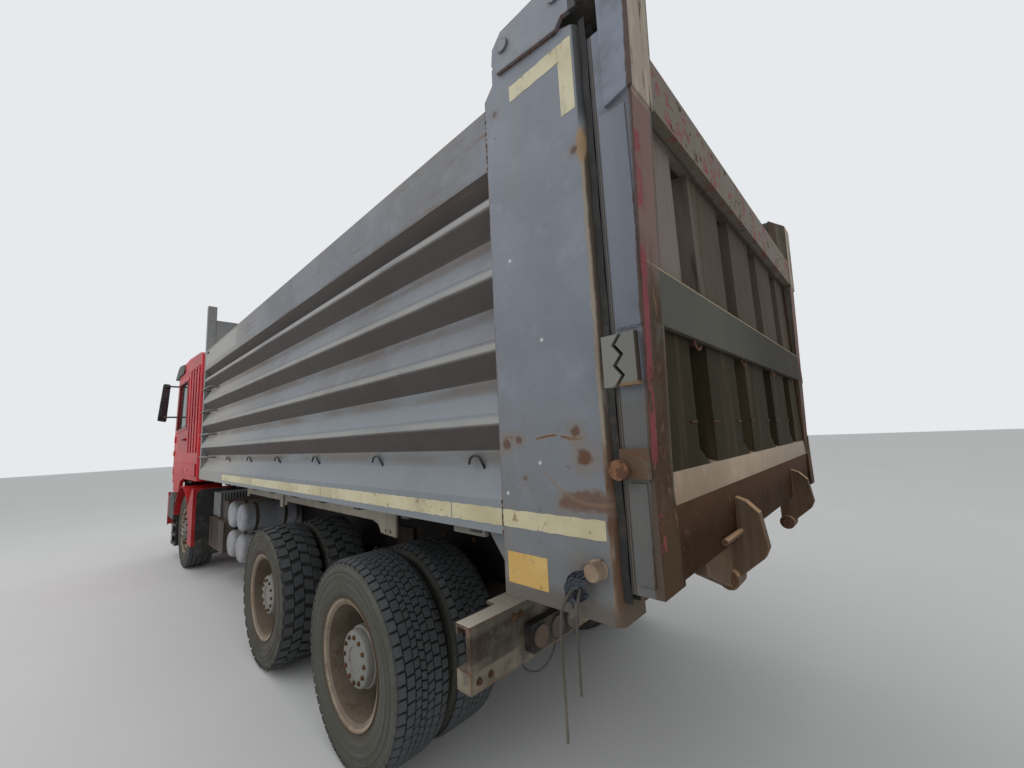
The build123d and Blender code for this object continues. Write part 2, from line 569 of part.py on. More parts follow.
# Rear corner posts, each with the pin plates of the tailgate above it
with BuildPart() as bed_posts:
    for side in (1, -1):
        post = [(POST_FRONT, 1100), (POST_REAR, 1100), (POST_REAR, 2885), (3690, 3020), (3655, 2985),
                (3655, 2925), (POST_FRONT, 2880)]
        plate_yz(post, side * (HALF_W - POST_T), side * HALF_W)
    upright = bed_posts.edges().filter_by(Axis.Z)
    rear_corners = upright.filter_by_position(Axis.Y, POST_REAR - 1, POST_REAR + 1)
    fillet([edge for edge in rear_corners if abs(edge.center().X) > HALF_W - 1], POST_CORNER_R)
    for side in (1, -1):
        pin_plate = [(3690, 2940), (3960, 2905), (3985, 2935), (4040, 2925), (4040, 3070), (4010, 3092),
                     (3720, 3092), (3675, 3050), (3668, 2985)]
        for x0, x1 in ((HALF_W, HALF_W + 14), (HALF_W - POST_T, HALF_W - POST_T - 14)):
            plate_yz(pin_plate, side * x0, side * x1)
        for y in (FRONT_PIN_Y, GATE_PIN_Y):
            rod(side * (HALF_W - POST_T - 20), side * (HALF_W + 22), y, GATE_PIN_Z, GATE_PIN_R)
        # front half of the toothed guide that centres the gate: it laps over the gate's side from the post
        x_in, x_out = side * (HALF_W - 60), side * (HALF_W + GUIDE_PROUD)
        plate_yz(guide_half(GUIDE_Y[0], GUIDE_Y[1]), side * (HALF_W + GUIDE_CLEAR), x_out)
        block(x_in, x_out, GUIDE_Y[0], GATE_FRONT - GUIDE_CLEAR, *GUIDE_Z)
        block(x_in, side * (HALF_W - 30), POST_REAR - 1, GUIDE_Y[0] + 1, *GUIDE_Z)
        # stiffener at the post's foot
        foot = [(POST_FRONT - 130, 1283), (POST_FRONT, 1120), (POST_FRONT, 1283)]
        plate_yz(foot, side * (HALF_W - 60), side * (HALF_W - 48))
keep(bed_posts, "bed_posts")

# Hanging side plates under the bed, each in two lengths with a bracket between them
PLATE_X = 1050.0
PLATE_FRONT = -260.0
PLATE_BREAK = 775.0
PLATE_REAR = 2600.0
with BuildPart() as side_plates:
    for side in (1, -1):
        x_in, x_out = side * (PLATE_X - 5), side * (PLATE_X + 5)
        for front, rear in ((PLATE_FRONT, PLATE_BREAK), (PLATE_BREAK + 70, PLATE_REAR)):
            outline = [(front, 1240), (front, 1140), (front + 60, 1140), (front + 70, 1168),
                       (rear - 250, 1168), (rear - 190, 1150), (rear - 160, 1108), (rear, 1100), (rear, 1240)]
            if rear == PLATE_BREAK:
                outline[4:8] = [(rear, 1168)]
            plate_yz(outline, x_in, x_out)
        for y in (PLATE_REAR - 60, PLATE_REAR - 110):
            rod(x_in, x_out, y, 1125, 9, mode=Mode.SUBTRACT)
        # the rusty bracket in the break, and the straps up to the floor
        block(side * (PLATE_X - 5), side * (PLATE_X + 15), PLATE_BREAK - 4, PLATE_BREAK + 74, 1120, 1236)
        for y in (PLATE_FRONT + 80, PLATE_BREAK + 35, 1740, 2220):
            block(side * (PLATE_X - 15), side * (PLATE_X - 5), y - 40, y + 40, 1200, FLOOR_Z)
keep(side_plates, "side_plates")

# Tailgate frame: side posts, three beams, a sheet with wide hat ribs, and the arms to its pins
with BuildPart() as tailgate_frame:
    for side in (1, -1):
        post = [(GATE_FRONT, GATE_BOTTOM), (gate_rear(GATE_BOTTOM), GATE_BOTTOM),
                (gate_rear(GATE_TOP + 60), GATE_TOP + 60), (GATE_FRONT, GATE_TOP + 60)]
        plate_yz(post, side * GATE_IN_X, side * HALF_W)
    for z0, z1 in (TOP_BEAM, MID_BEAM):
        beam = [(gate_rear(z0) - GATE_BEAM_T, z0), (gate_rear(z0), z0), (gate_rear(z1), z1),
                (gate_rear(z1) - GATE_BEAM_T, z1)]
        plate_yz(beam, -GATE_IN_X, GATE_IN_X)
    # bottom beam with a sloped ledge, and the plate that laps over the posts beside it
    bottom = [(GATE_FRONT, GATE_BOTTOM), (gate_rear(GATE_BOTTOM), GATE_BOTTOM),
              (gate_rear(LEDGE_REAR_Z), LEDGE_REAR_Z), (GATE_FRONT + 12, LEDGE_FRONT_Z),
              (GATE_FRONT, LEDGE_FRONT_Z)]
    plate_yz(bottom, -GATE_IN_X, GATE_IN_X)
    for side in (1, -1):
        lap = [(side * GATE_IN_X, GATE_BOTTOM), (side * HALF_W, GATE_BOTTOM),
               (side * HALF_W, LEDGE_FRONT_Z + 20), (side * GATE_IN_X, LEDGE_REAR_Z)]
        prism_y(lap, GATE_REAR - 60, gate_rear(LEDGE_FRONT_Z) + 5)
    # inner sheet and ribs
    block(-GATE_IN_X, GATE_IN_X, GATE_FRONT, GATE_FRONT + GATE_SHEET_T, LEDGE_FRONT_Z, GATE_TOP)
    for i in range(5):
        x = (i - 2) * RIB_PITCH
        x_low = max(x - RIB_HALF, -GATE_IN_X)
        x_high = min(x + RIB_HALF, GATE_IN_X)
        with BuildSketch(Plane.XY.offset(LEDGE_REAR_Z + 30)):
            with BuildLine():
                Polyline((x_low - 22, GATE_FRONT + 2), (x_low, GATE_FRONT + RIB_DEPTH),
                         (x_high, GATE_FRONT + RIB_DEPTH), (x_high + 22, GATE_FRONT + 2), close=True)
            make_face()
        extrude(amount=TOP_BEAM[0] - LEDGE_REAR_Z - 30)
        if i:
            shed = [(x_low - 110, LEDGE_REAR_Z + 20), (x_low + 5, LEDGE_REAR_Z + 20), (x_low + 5, 1535),
                    (x_low - 8, 1535), (x_low - 110, 1472)]
            prism_y(shed, GATE_FRONT + 2, GATE_FRONT + RIB_DEPTH)
    # arms: boxes over the side posts that reach forward to the pins
    for side in (1, -1):
        box = [(ARM_FRONT, ARM_BOTTOM), (gate_rear(ARM_BOTTOM) + 6, ARM_BOTTOM + 22),
               (gate_rear(3000), 3000), (ARM_FRONT + 6, 3076), (ARM_FRONT, 3076)]
        plate_yz(box, side * (GATE_IN_X - 8), side * (HALF_W + 12))
        arm = [(ARM_FRONT + 6, 2950), (ARM_FRONT + 6, 3075), (GATE_PIN_Y, 3080), (GATE_PIN_Y - 50, 3045),
               (GATE_PIN_Y - 50, 2995), (GATE_PIN_Y, 2975), (GATE_FRONT + 2, 2950)]
        plate_yz(arm, side * (GATE_IN_X + 6), side * (HALF_W - 6))
        rod(side * (GATE_IN_X + 5), side * (HALF_W - 5), GATE_PIN_Y, GATE_PIN_Z, GATE_PIN_R + PIN_FIT,
            mode=Mode.SUBTRACT)
        # rear half of the toothed guide, and the pin block below it
        plate_yz(guide_half(GUIDE_Y[3], GUIDE_Y[2]), side * (HALF_W - 2), side * (HALF_W + GUIDE_PROUD))
        block(side * (HALF_W - 2), side * (HALF_W + 16), LOCK_PIN[0] - 6, GUIDE_Y[3], 1483, 1559)
        rod(side * (HALF_W - 2), side * (HALF_W + 42), *LOCK_PIN, 20)
        rod(side * (HALF_W + 32), side * (HALF_W + 42), *LOCK_PIN, 26)
keep(tailgate_frame, "tailgate_frame")

# Lock claws under the gate's bottom beam, hooked up behind it
CLAW_X = 550.0
with BuildPart() as tailgate_claws:
    for side in (1, -1):
        z = GATE_BOTTOM
        claw = [(gate_rear(z + 150), z + 150), (GATE_REAR + 8, z + 137), (GATE_REAR + 47, z + 99),
                (GATE_REAR + 64, z - 21), (GATE_REAR + 48, z - 56), (GATE_REAR - 32, z - 128),
                (GATE_REAR - 66, z - 170), (GATE_REAR - 98, z - 160), (GATE_REAR - 98, z), (gate_rear(z), z)]
        plate_yz(claw, side * (CLAW_X - 20), side * (CLAW_X + 20))
        rod(side * (CLAW_X - 45), side * (CLAW_X + 50), GATE_REAR - 69, z - 139, 36)
        rod(side * (CLAW_X + 15), side * (CLAW_X + 210), gate_rear(z + 30) + 11.3, z + 30, 11)
        bracket = [(side * (CLAW_X + 15), z), (side * (CLAW_X + 300), z), (side * (CLAW_X + 290), z - 60),
                   (side * (CLAW_X + 60), z - 160), (side * (CLAW_X + 15), z - 160)]
        prism_y(bracket, GATE_REAR - 95, GATE_REAR - 55)
keep(tailgate_claws, "tailgate_claws")

# Hoist: barrel on its trunnions, three sleeves and the eye rod
STAGES = len(HOIST_R) - 1
COLLAR_H = 19.0
TUBE_BOTTOM = HOIST_Z - 45
with BuildPart() as hoist_barrel:
    with Locations((0, HOIST_Y, 0)):
        with Locations((0, 0, (TUBE_BOTTOM + BARREL_TOP) / 2)):
            Cylinder(HOIST_R[0], BARREL_TOP - TUBE_BOTTOM)
        for z in (BARREL_TOP - 30, HOIST_Z + 130):
            with Locations((0, 0, z)):
                Cylinder(HOIST_R[0] + 7, 60)
        with Locations((0, 0, (TUBE_BOTTOM + 30 + BARREL_TOP) / 2)):
            Cylinder(HOIST_R[1] + RUN, BARREL_TOP - TUBE_BOTTOM - 30, mode=Mode.SUBTRACT)
    for side in (1, -1):
        rod(side * (HOIST_R[0] - 5), side * (HOIST_R[0] + 55), HOIST_Y, HOIST_Z, TRUNNION_R)
keep(hoist_barrel, "hoist_barrel")
for i in range(1, STAGES):
    top = BARREL_TOP + 25 * i
    bottom = TUBE_BOTTOM + 30 + 5 * i
    with BuildPart() as stage:
        with Locations((0, HOIST_Y, (bottom + top) / 2)):
            Cylinder(HOIST_R[i], top - bottom)
        with Locations((0, HOIST_Y, top - COLLAR_H / 2)):
            Cylinder(HOIST_R[i] + 5, COLLAR_H)
        with Locations((0, HOIST_Y, (bottom + top) / 2)):
            Cylinder(HOIST_R[i + 1] + RUN, top - bottom, mode=Mode.SUBTRACT)
    keep(stage, f"hoist_stage_{i}")
with BuildPart() as hoist_rod:
    bottom = TUBE_BOTTOM + 30 + 5 * STAGES
    with Locations((0, HOIST_Y, (bottom + HOIST_EYE_Z - 40) / 2)):
        Cylinder(HOIST_R[STAGES], HOIST_EYE_Z - 40 - bottom)
    rod(-EYE_W / 2, EYE_W / 2, HOIST_Y, HOIST_EYE_Z, 50)
    rod(-EYE_W / 2, EYE_W / 2, HOIST_Y, HOIST_EYE_Z, 26, mode=Mode.SUBTRACT)
keep(hoist_rod, "hoist_rod")

# Doors: their hinges, outline and window
HINGE_Z = (1320.0, 1820.0)
DOOR_PIN_X = CAB_HALF + 4
DOOR_PIN_Y = DOOR_FRONT - DOOR_GAP / 2

# Cab: outline seen from the side, as (y, z)
WAIST_Z = 1960.0
CAB_OUTLINE = [(CAB_REAR, CAB_BOTTOM), (CAB_REAR, 2830), (CAB_REAR - 40, 2920),
               (CAB_REAR - 130, CAB_ROOF - 20), (-3000, CAB_ROOF + 20), (CAB_FRONT + 350, CAB_ROOF - 10),
               (CAB_FRONT + 265, CAB_ROOF - 45), (CAB_FRONT + 225, 2870), (CAB_FRONT + 55, WAIST_Z),
               (CAB_FRONT, 1800), (CAB_FRONT, CAB_FRONT_BOTTOM), (-3500, CAB_FRONT_BOTTOM),
               (-3480, CAB_BOTTOM)]
DOOR_OUTLINE = [(DOOR_FRONT, 1010), (-3460, 1010), (-3300, 1190), (DOOR_REAR, 1250), (DOOR_REAR, 2780),
                (DOOR_FRONT + 180, 2780), (DOOR_FRONT, 1950)]
WINDOW_OUTLINE = [(DOOR_FRONT + 90, WAIST_Z), (DOOR_REAR - 90, WAIST_Z + 30), (DOOR_REAR - 90, 2680),
                  (DOOR_FRONT + 230, 2680)]
SKIRT_Z = (1285.0, 1450.0)
SKIRT_OUT = 14.0


def cab_solid(grow):
    """The cab's outer body, or with a negative value its inside."""
    with BuildPart(mode=Mode.PRIVATE) as body:
        with BuildSketch(Plane.YZ):
            with BuildLine():
                Polyline(*CAB_OUTLINE, close=True)
            make_face()
            if grow:
                offset(amount=grow, kind=Kind.INTERSECTION, mode=Mode.REPLACE)
        extrude(amount=CAB_HALF + grow, both=True)
        if not grow:
            fillet(body.edges().filter_by(Axis.Z), 60)
    return body.part


cab_outer = cab_solid(0)
cab_inner = cab_solid(-CAB_WALL)
for side, hand in ((1, "left"), (-1, "right")):
    with BuildPart() as door:
        plate_yz(DOOR_OUTLINE, side * (CAB_HALF - CAB_WALL + 1), side * CAB_HALF)
        # pressed skirt band, handle and the rim round the window
        band = [(DOOR_FRONT + 60, SKIRT_Z[0]), (DOOR_REAR - 12, SKIRT_Z[0]), (DOOR_REAR - 12, SKIRT_Z[1]),
                (DOOR_FRONT + 60, SKIRT_Z[1])]
        plate_yz(band, side * (CAB_HALF - 2), side * (CAB_HALF + SKIRT_OUT))
        rim = [(DOOR_FRONT + 50, WAIST_Z - 45), (DOOR_REAR - 45, WAIST_Z - 15), (DOOR_REAR - 45, 2725),
               (DOOR_FRONT + 215, 2725)]
        plate_yz(rim, side * (CAB_HALF - 2), side * (CAB_HALF + 8))
        block(side * (CAB_HALF - 2), side * (CAB_HALF + 26), DOOR_REAR - 240, DOOR_REAR - 70, 1780, 1815)
        plate_yz(WINDOW_OUTLINE, side * (CAB_HALF - 200), side * (CAB_HALF + 50), mode=Mode.SUBTRACT)
        for z in HINGE_Z:
            with Locations((side * DOOR_PIN_X, DOOR_PIN_Y, z)):
                Cylinder(14, 60)
                Cylinder(6 + PIN_FIT, 64, mode=Mode.SUBTRACT)
            for dz in (-42, 42):
                with Locations((side * DOOR_PIN_X, DOOR_PIN_Y, z + dz)):
                    Cylinder(18, 23, mode=Mode.SUBTRACT)
    keep(door, f"door_{hand}")
    with BuildPart() as glass:
        with BuildSketch(Plane.YZ.offset(side * (CAB_HALF - 25))):
            with BuildLine():
                Polyline(*WINDOW_OUTLINE, close=True)
            make_face()
            offset(amount=-0.5, mode=Mode.REPLACE)
        extrude(amount=6)
    keep(glass, f"door_glass_{hand}")

RIB_STEP = 195.0
GRILLE_Z = (1230.0, 1730.0)
GRILLE_DEPTH = 30.0
SCREEN_OUTLINE = [(-1090, 2060), (1090, 2060), (1030, 2780), (-1030, 2780)]
REAR_WINDOW_Z = (2050, 2500)
with BuildPart() as cab_shell:
    add(cab_outer)
    add(cab_inner, mode=Mode.SUBTRACT)
    for side in (1, -1):
        with BuildSketch(Plane.YZ.offset(side * CAB_HALF)):
            with BuildLine():
                Polyline(*DOOR_OUTLINE, close=True)
            make_face()
            offset(amount=DOOR_GAP, mode=Mode.REPLACE)
        extrude(amount=CAB_WALL + 120, both=True, mode=Mode.SUBTRACT)
        for z in HINGE_Z:
            with Locations((side * DOOR_PIN_X, DOOR_PIN_Y, z)):
                Cylinder(20, 66, mode=Mode.SUBTRACT)
                Cylinder(6, 100)
            for dz in (-42, 42):
                with Locations((side * DOOR_PIN_X, DOOR_PIN_Y, z + dz)):
                    Cylinder(14, 20)
    # pressed ribs and the skirt band on the panels behind the doors
    for side in (1, -1):
        for i in range(4):
            y = DOOR_REAR + 130 + i * RIB_STEP
            rib = [(y - 45, 1600), (y + 45, 1600), (y + 45, 2740), (y + 30, 2790), (y - 30, 2790),
                   (y - 45, 2740)]
            plate_yz(rib, side * (CAB_HALF - 2), side * (CAB_HALF + 12))
        band = [(DOOR_REAR + 12, SKIRT_Z[0]), (CAB_REAR - 90, SKIRT_Z[0]), (CAB_REAR - 90, SKIRT_Z[1]),
                (DOOR_REAR + 12, SKIRT_Z[1])]
        plate_yz(band, side * (CAB_HALF - 2), side * (CAB_HALF + SKIRT_OUT))
    # grille: a recess in the front wall with bars across it
    block(-780, 780, CAB_FRONT - 1, CAB_FRONT + GRILLE_DEPTH, *GRILLE_Z, mode=Mode.SUBTRACT)
    pitch = (GRILLE_Z[1] - GRILLE_Z[0]) / 6
    for i in range(1, 6):
        z = GRILLE_Z[0] + i * pitch
        bar = [(CAB_FRONT + GRILLE_DEPTH + 2, z - 20), (CAB_FRONT + 4, z - 8), (CAB_FRONT + 4, z + 16),
               (CAB_FRONT + GRILLE_DEPTH + 2, z + 20)]
        plate_yz(bar, -781, 781)
    # windscreen and rear window
    prism_y(SCREEN_OUTLINE, CAB_FRONT - 80, CAB_FRONT + 320, mode=Mode.SUBTRACT)
    block(-700, 700, CAB_REAR - 100, CAB_REAR + 20, *REAR_WINDOW_Z, mode=Mode.SUBTRACT)
    # pivot lugs under the front of the cab
    for side in (1, -1):
        lug = [(CAB_PIN_Y - 70, CAB_FRONT_BOTTOM + 20), (CAB_PIN_Y - 38, CAB_PIN_Z - 20),
               (CAB_PIN_Y, CAB_PIN_Z - 42), (CAB_PIN_Y + 38, CAB_PIN_Z - 20),
               (CAB_PIN_Y + 70, CAB_FRONT_BOTTOM + 20)]
        plate_yz(lug, side * (RAIL_X + 30), side * (RAIL_X + 55))
        rod(side * (RAIL_X + 28), side * (RAIL_X + 57), CAB_PIN_Y, CAB_PIN_Z, CAB_PIN_R + PIN_FIT,
            mode=Mode.SUBTRACT)
keep(cab_shell, "cab_shell")

# Windscreen and rear window: the screen is cut from a slanted sheet
with BuildPart() as cab_glass:
    prism_y(SCREEN_OUTLINE, CAB_FRONT - 80, CAB_FRONT + 320)
    lean = (2870 - WAIST_Z) / 170
    sheet = [(CAB_FRONT + 90, WAIST_Z), (CAB_FRONT + 90 + 850 / lean, WAIST_Z + 850),
             (CAB_FRONT + 98 + 850 / lean, WAIST_Z + 850), (CAB_FRONT + 98, WAIST_Z)]
    plate_yz(sheet, -1200, 1200, mode=Mode.INTERSECT)
    block(-700, 700, CAB_REAR - 30, CAB_REAR - 24, *REAR_WINDOW_Z)
keep(cab_glass, "cab_glass")

# Visor: a black blade over the windscreen with wings along the roof's edges
with BuildPart() as sun_visor:
    blade = [(CAB_FRONT + 215, 2875), (CAB_FRONT + 262, CAB_ROOF - 40), (CAB_FRONT - 20, CAB_ROOF - 130),
             (CAB_FRONT - 30, CAB_ROOF - 160)]
    plate_yz(blade, -CAB_HALF - 20, CAB_HALF + 20)
    for side in (1, -1):
        wing = [(CAB_FRONT - 30, CAB_ROOF - 160), (CAB_FRONT + 40, CAB_ROOF - 165),
                (CAB_FRONT + 230, CAB_ROOF - 145), (CAB_FRONT + 700, CAB_ROOF - 140),
                (CAB_FRONT + 760, CAB_ROOF - 95), (CAB_FRONT + 700, CAB_ROOF),
                (CAB_FRONT + 330, CAB_ROOF + 25), (CAB_FRONT + 190, CAB_ROOF - 10),
                (CAB_FRONT - 20, CAB_ROOF - 125)]
        plate_yz(wing, side * (CAB_HALF + 0.3), side * (CAB_HALF + 20))
    add(cab_outer, mode=Mode.SUBTRACT)
keep(sun_visor, "sun_visor")

# Seats: a base, a cushion and a leaning back with a head rest
with BuildPart() as cab_seats:
    for x in (DRIVER_X, -DRIVER_X):
        block(x - 170, x + 170, -3120, -2720, CAB_FLOOR, 1520)
        side_view = [(-3170, 1520), (-3180, 1590), (-3140, 1625), (-2790, 1600), (-2680, 2180), (-2640, 2330),
                     (-2570, 2320), (-2560, 2200), (-2660, 1560), (-2700, 1520)]
        plate_yz(side_view, x - 240, x + 240)
        for edge in (-1, 1):
            block(x + edge * 140, x + edge * 245, -2700, -2500, 2190, 2400, mode=Mode.SUBTRACT)
keep(cab_seats, "cab_seats")

# Dashboard: one moulding from wall to wall
DASH_REAR = -3660.0
with BuildPart() as dashboard:
    dash = [(-3960, 1600), (-3960, 1985), (-3900, 2005), (-3740, 1990), (DASH_REAR, 1930),
            (DASH_REAR, 1780), (-3720, 1600)]
    plate_yz(dash, -CAB_HALF + CAB_WALL, CAB_HALF - CAB_WALL)
keep(dashboard, "dashboard")

# Steering wheel on its column
with BuildPart() as steering_wheel:
    with Locations(Location((DRIVER_X, -3560, 1980), (-30, 0, 0))):
        Cylinder(246, 30)
        Cylinder(216, 30, mode=Mode.SUBTRACT)
        Cylinder(40, 40)
        Box(450, 30, 20)
        with Locations((0, 0, -110)):
            Cylinder(28, 220)
    plate_yz(dash, DRIVER_X - 220, DRIVER_X + 280, mode=Mode.SUBTRACT)
keep(steering_wheel, "steering_wheel")

# Front bumper on brackets at the frame's ends, with an open pocket for the towing jaw
TOW_Y = -4180.0
TOW_R = 20.5
TOW_T = 30.0
JAW_Z = (575.0, 655.0)
LAMP_POCKET = (760.0, 1090.0)
LAMP_HEIGHT = (700.0, 850.0)
with BuildPart() as front_bumper:
    block(-BUMPER_HALF, BUMPER_HALF, BUMPER_FRONT, BUMPER_REAR, 480, 930)
    block(-BUMPER_HALF, BUMPER_HALF, BUMPER_FRONT, BUMPER_FRONT + 30, 928, BUMPER_TOP)
    upright = front_bumper.edges().filter_by(Axis.Z)
    fillet(upright.filter_by_position(Axis.Y, BUMPER_FRONT - 1, BUMPER_FRONT + 1), 28)
    # lower air slots and lamp pockets
    for i in range(3):
        z = 525 + i * 50
        for side in (1, -1):
            block(side * 160, side * 720, BUMPER_FRONT - 1, BUMPER_FRONT + 40, z, z + 26, mode=Mode.SUBTRACT)
    for side in (1, -1):
        block(side * LAMP_POCKET[0], side * LAMP_POCKET[1], BUMPER_FRONT - 1, BUMPER_FRONT + 50, *LAMP_HEIGHT,
              mode=Mode.SUBTRACT)
        block(side * 340, side * RAIL_X, BUMPER_REAR, FRAME_FRONT, FRAME_TOP - RAIL_H, FRAME_TOP - 60)
    block(-90, 90, BUMPER_FRONT - 1, BUMPER_REAR, JAW_Z[0] - 15, BUMPER_TOP + 1, mode=Mode.SUBTRACT)
    for z in JAW_Z:
        block(-70, 70, BUMPER_FRONT + 5, -4040, z, z + TOW_T)
        with Locations((0, TOW_Y, z + TOW_T / 2)):
            Cylinder(TOW_R, TOW_T, mode=Mode.SUBTRACT)
    block(-150, 150, BUMPER_REAR, -4060, 540, 720)
    block(-340, 340, BUMPER_REAR, -4050, 700, 760)
keep(front_bumper, "front_bumper")

# Headlamps in their pockets
with BuildPart() as headlamps:
    for side in (1, -1):
        block(side * (LAMP_POCKET[0] + 2), side * (LAMP_POCKET[1] - 2), BUMPER_FRONT + 16,
              BUMPER_FRONT + 49.7, LAMP_HEIGHT[0] + 2, LAMP_HEIGHT[1] - 2)
    lens_edges = headlamps.edges().filter_by_position(Axis.Y, BUMPER_FRONT + 15, BUMPER_FRONT + 17)
    fillet(lens_edges, 8)
    for side in (1, -1):
        for i in range(2):
            x = side * (LAMP_POCKET[0] + 85 + i * 160)
            with Locations(Location((x, BUMPER_FRONT + 3, sum(LAMP_HEIGHT) / 2), (90, 0, 0))):
                Cylinder(62, 26)
keep(headlamps, "headlamps")

# Black corner mouldings behind the bumper's ends, with the entry steps hung under them
STEP_REAR = -3560.0
STEP_Z = (490.0, 345.0, 205.0)
with BuildPart() as entry_steps:
    for side in (1, -1):
        corner = [(BUMPER_REAR + 0.3, 600), (BUMPER_REAR + 0.3, 925), (-3990, 925), (-3960, 985),
                  (-3720, 985), (STEP_REAR, 860), (STEP_REAR, 600)]
        plate_yz(corner, side * 1050, side * BUMPER_HALF)
        for y in (-3950, STEP_REAR - 30):
            block(side * 1060, side * 1180, y, y + 12, STEP_Z[-1], 602)
        for z in STEP_Z:
            block(side * 1050, side * 1190, -3955, STEP_REAR - 14, z, z + 28)
        # bracket to the frame
        block(side * RAIL_X, side * 1052, -3900, -3840, 760, 840)
keep(entry_steps, "entry_steps")

# Mirrors on two arms each
with BuildPart() as mirrors:
    for side in (1, -1):
        head = [(side * (CAB_HALF + 95), 2735), (side * (CAB_HALF + 185), 2745),
                (side * (CAB_HALF + 235), 2140), (side * (CAB_HALF + 125), 2115)]
        prism_y(head, CAB_FRONT + 25, CAB_FRONT + 90)
    fillet(mirrors.edges().filter_by(Axis.Y), 20)
    for side in (1, -1):
        for y, z in ((CAB_FRONT + 190, 2690), (CAB_FRONT + 155, 2190)):
            rod(side * (CAB_HALF + 0.2), side * (CAB_HALF + 165), y, z, 13)
            block(side * (CAB_HALF + 138), side * (CAB_HALF + 164), CAB_FRONT + 80, y + 5, z - 12, z + 12)
keep(mirrors, "mirrors")

# Front mudguards: an arch over each wheel that runs down behind it, and a rubber flap
GUARD_R = 618.0
GUARD_T = 9.0
GUARD_REAR = CAB_REAR - 40
with BuildPart() as front_mudguards:
    for side in (1, -1):
        x0 = side * 800
        x1 = side * (CAB_HALF + 22)
        top = TYRE_R + GUARD_R
        centre = (FRONT_AXLE_Y, TYRE_R)
        with BuildSketch(Plane.YZ.offset(min(x0, x1))):
            with Locations(centre):
                Circle(GUARD_R + GUARD_T)
                Circle(GUARD_R, mode=Mode.SUBTRACT)
            with Locations((FRONT_AXLE_Y, TYRE_R - 330)):
                Rectangle(1500, 1000, mode=Mode.SUBTRACT)
        extrude(amount=abs(x1 - x0))
        # rear skirt: a box open to the wheel, down to the flap
        skirt = [(FRONT_AXLE_Y + 500, TYRE_R + 372), (GUARD_REAR - 90, 1130), (GUARD_REAR, 1130),
                 (GUARD_REAR, 415), (FRONT_AXLE_Y + 625, 415), (FRONT_AXLE_Y + 619, TYRE_R + 90),
                 (FRONT_AXLE_Y + 600, TYRE_R + 185)]
        plate_yz(skirt, side * (CAB_HALF + 10), side * (CAB_HALF + 22))
        block(x0, side * (CAB_HALF + 22), GUARD_REAR - 12, GUARD_REAR, 415, 1130)
        block(x0, side * (CAB_HALF + 22), GUARD_REAR - 100, GUARD_REAR, 1118, 1130)
        block(side * RAIL_X, side * 802, GUARD_REAR - 60, GUARD_REAR, 900, 960)
keep(front_mudguards, "front_mudguards")

# Rubber flaps behind the front mudguards
with BuildPart() as mud_flaps:
    for side in (1, -1):
        flap = [(side * 815, 285), (side * (CAB_HALF - 15), 285), (side * (CAB_HALF - 15), 1080),
                (side * (CAB_HALF - 60), 1120), (side * 815, 1120)]
        prism_y(flap, GUARD_REAR + 0.3, GUARD_REAR + 9)
keep(mud_flaps, "mud_flaps")
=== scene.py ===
import json
from math import cos, pi, radians, sin

import bmesh
import bpy
from mathutils import Matrix, Vector


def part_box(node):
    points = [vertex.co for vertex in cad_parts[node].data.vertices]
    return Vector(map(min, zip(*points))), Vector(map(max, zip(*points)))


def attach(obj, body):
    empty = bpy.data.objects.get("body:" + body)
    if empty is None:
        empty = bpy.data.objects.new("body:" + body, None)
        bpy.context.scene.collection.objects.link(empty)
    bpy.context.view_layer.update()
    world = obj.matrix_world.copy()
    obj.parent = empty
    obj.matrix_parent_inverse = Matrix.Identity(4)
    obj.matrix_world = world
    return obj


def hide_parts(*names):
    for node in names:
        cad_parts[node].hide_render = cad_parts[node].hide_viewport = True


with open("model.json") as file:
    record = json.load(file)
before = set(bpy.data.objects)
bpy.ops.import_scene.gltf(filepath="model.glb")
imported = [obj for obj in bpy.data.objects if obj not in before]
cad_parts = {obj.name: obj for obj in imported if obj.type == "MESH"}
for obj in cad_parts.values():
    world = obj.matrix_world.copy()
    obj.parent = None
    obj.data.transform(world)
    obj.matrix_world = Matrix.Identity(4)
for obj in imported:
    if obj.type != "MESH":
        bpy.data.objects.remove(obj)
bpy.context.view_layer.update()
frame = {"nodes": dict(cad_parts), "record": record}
bpy.context.scene.view_settings.view_transform = "Standard"

# A three-axle tipper truck, seen from its rear left corner. Metres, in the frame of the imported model:
# X points to the vehicle's left, Y to its rear and Z up, with the ground at Z 0.


def middle_y(node):
    """The place of a node's middle along the vehicle."""
    low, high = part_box(node)
    return (low.y + high.y) / 2


# Places and sizes that several sections share
SIDES = (("left", 1), ("right", -1))
TYRE_LOW, TYRE_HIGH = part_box("tyre_rear_left")
TYRE_R = (TYRE_HIGH.z - TYRE_LOW.z) / 2
FRONT_Y = middle_y("tyre_front_left")
MID_Y = middle_y("tyre_mid_left")
REAR_Y = middle_y("tyre_rear_left")
FRONT_X = 1.03
DUAL_OUT = 1.1
DUAL_STEP = 0.335
HALF_WIDTH = 1.25
POST_FRONT = 3.61
RIDGES = (2.46, 2.187, 1.915, 1.654)
GUIDE_Z = 1.792
TOP_BEAM_Z = 2.653
MID_BEAM_Z = 1.979
BEAM_HALF = 0.085
BEAM_FACE = 4.15
ARM_FOOT_Z = 2.53
GATE_LEAN = 0.0385

# Colours, as 0 to 255 per channel
RUST_DARK = (74, 46, 32)
RUST_BRIGHT = (140, 86, 50)
RUST_PALE = (146, 124, 100)
DUST = (140, 132, 117)
MUD = (100, 88, 72)
CREAM = (200, 192, 160)
PINK = (134, 66, 72)
WHITE = (205, 205, 198)


def linear(value):
    """A channel of 0 to 255 as the linear value that shaders take."""
    value /= 255
    return value / 12.92 if value <= 0.04045 else ((value + 0.055) / 1.055) ** 2.4


def shade(value):
    """A written colour as shaders take it; a number or a node's socket stays as it is."""
    return (*map(linear, value), 1) if isinstance(value, tuple) else value


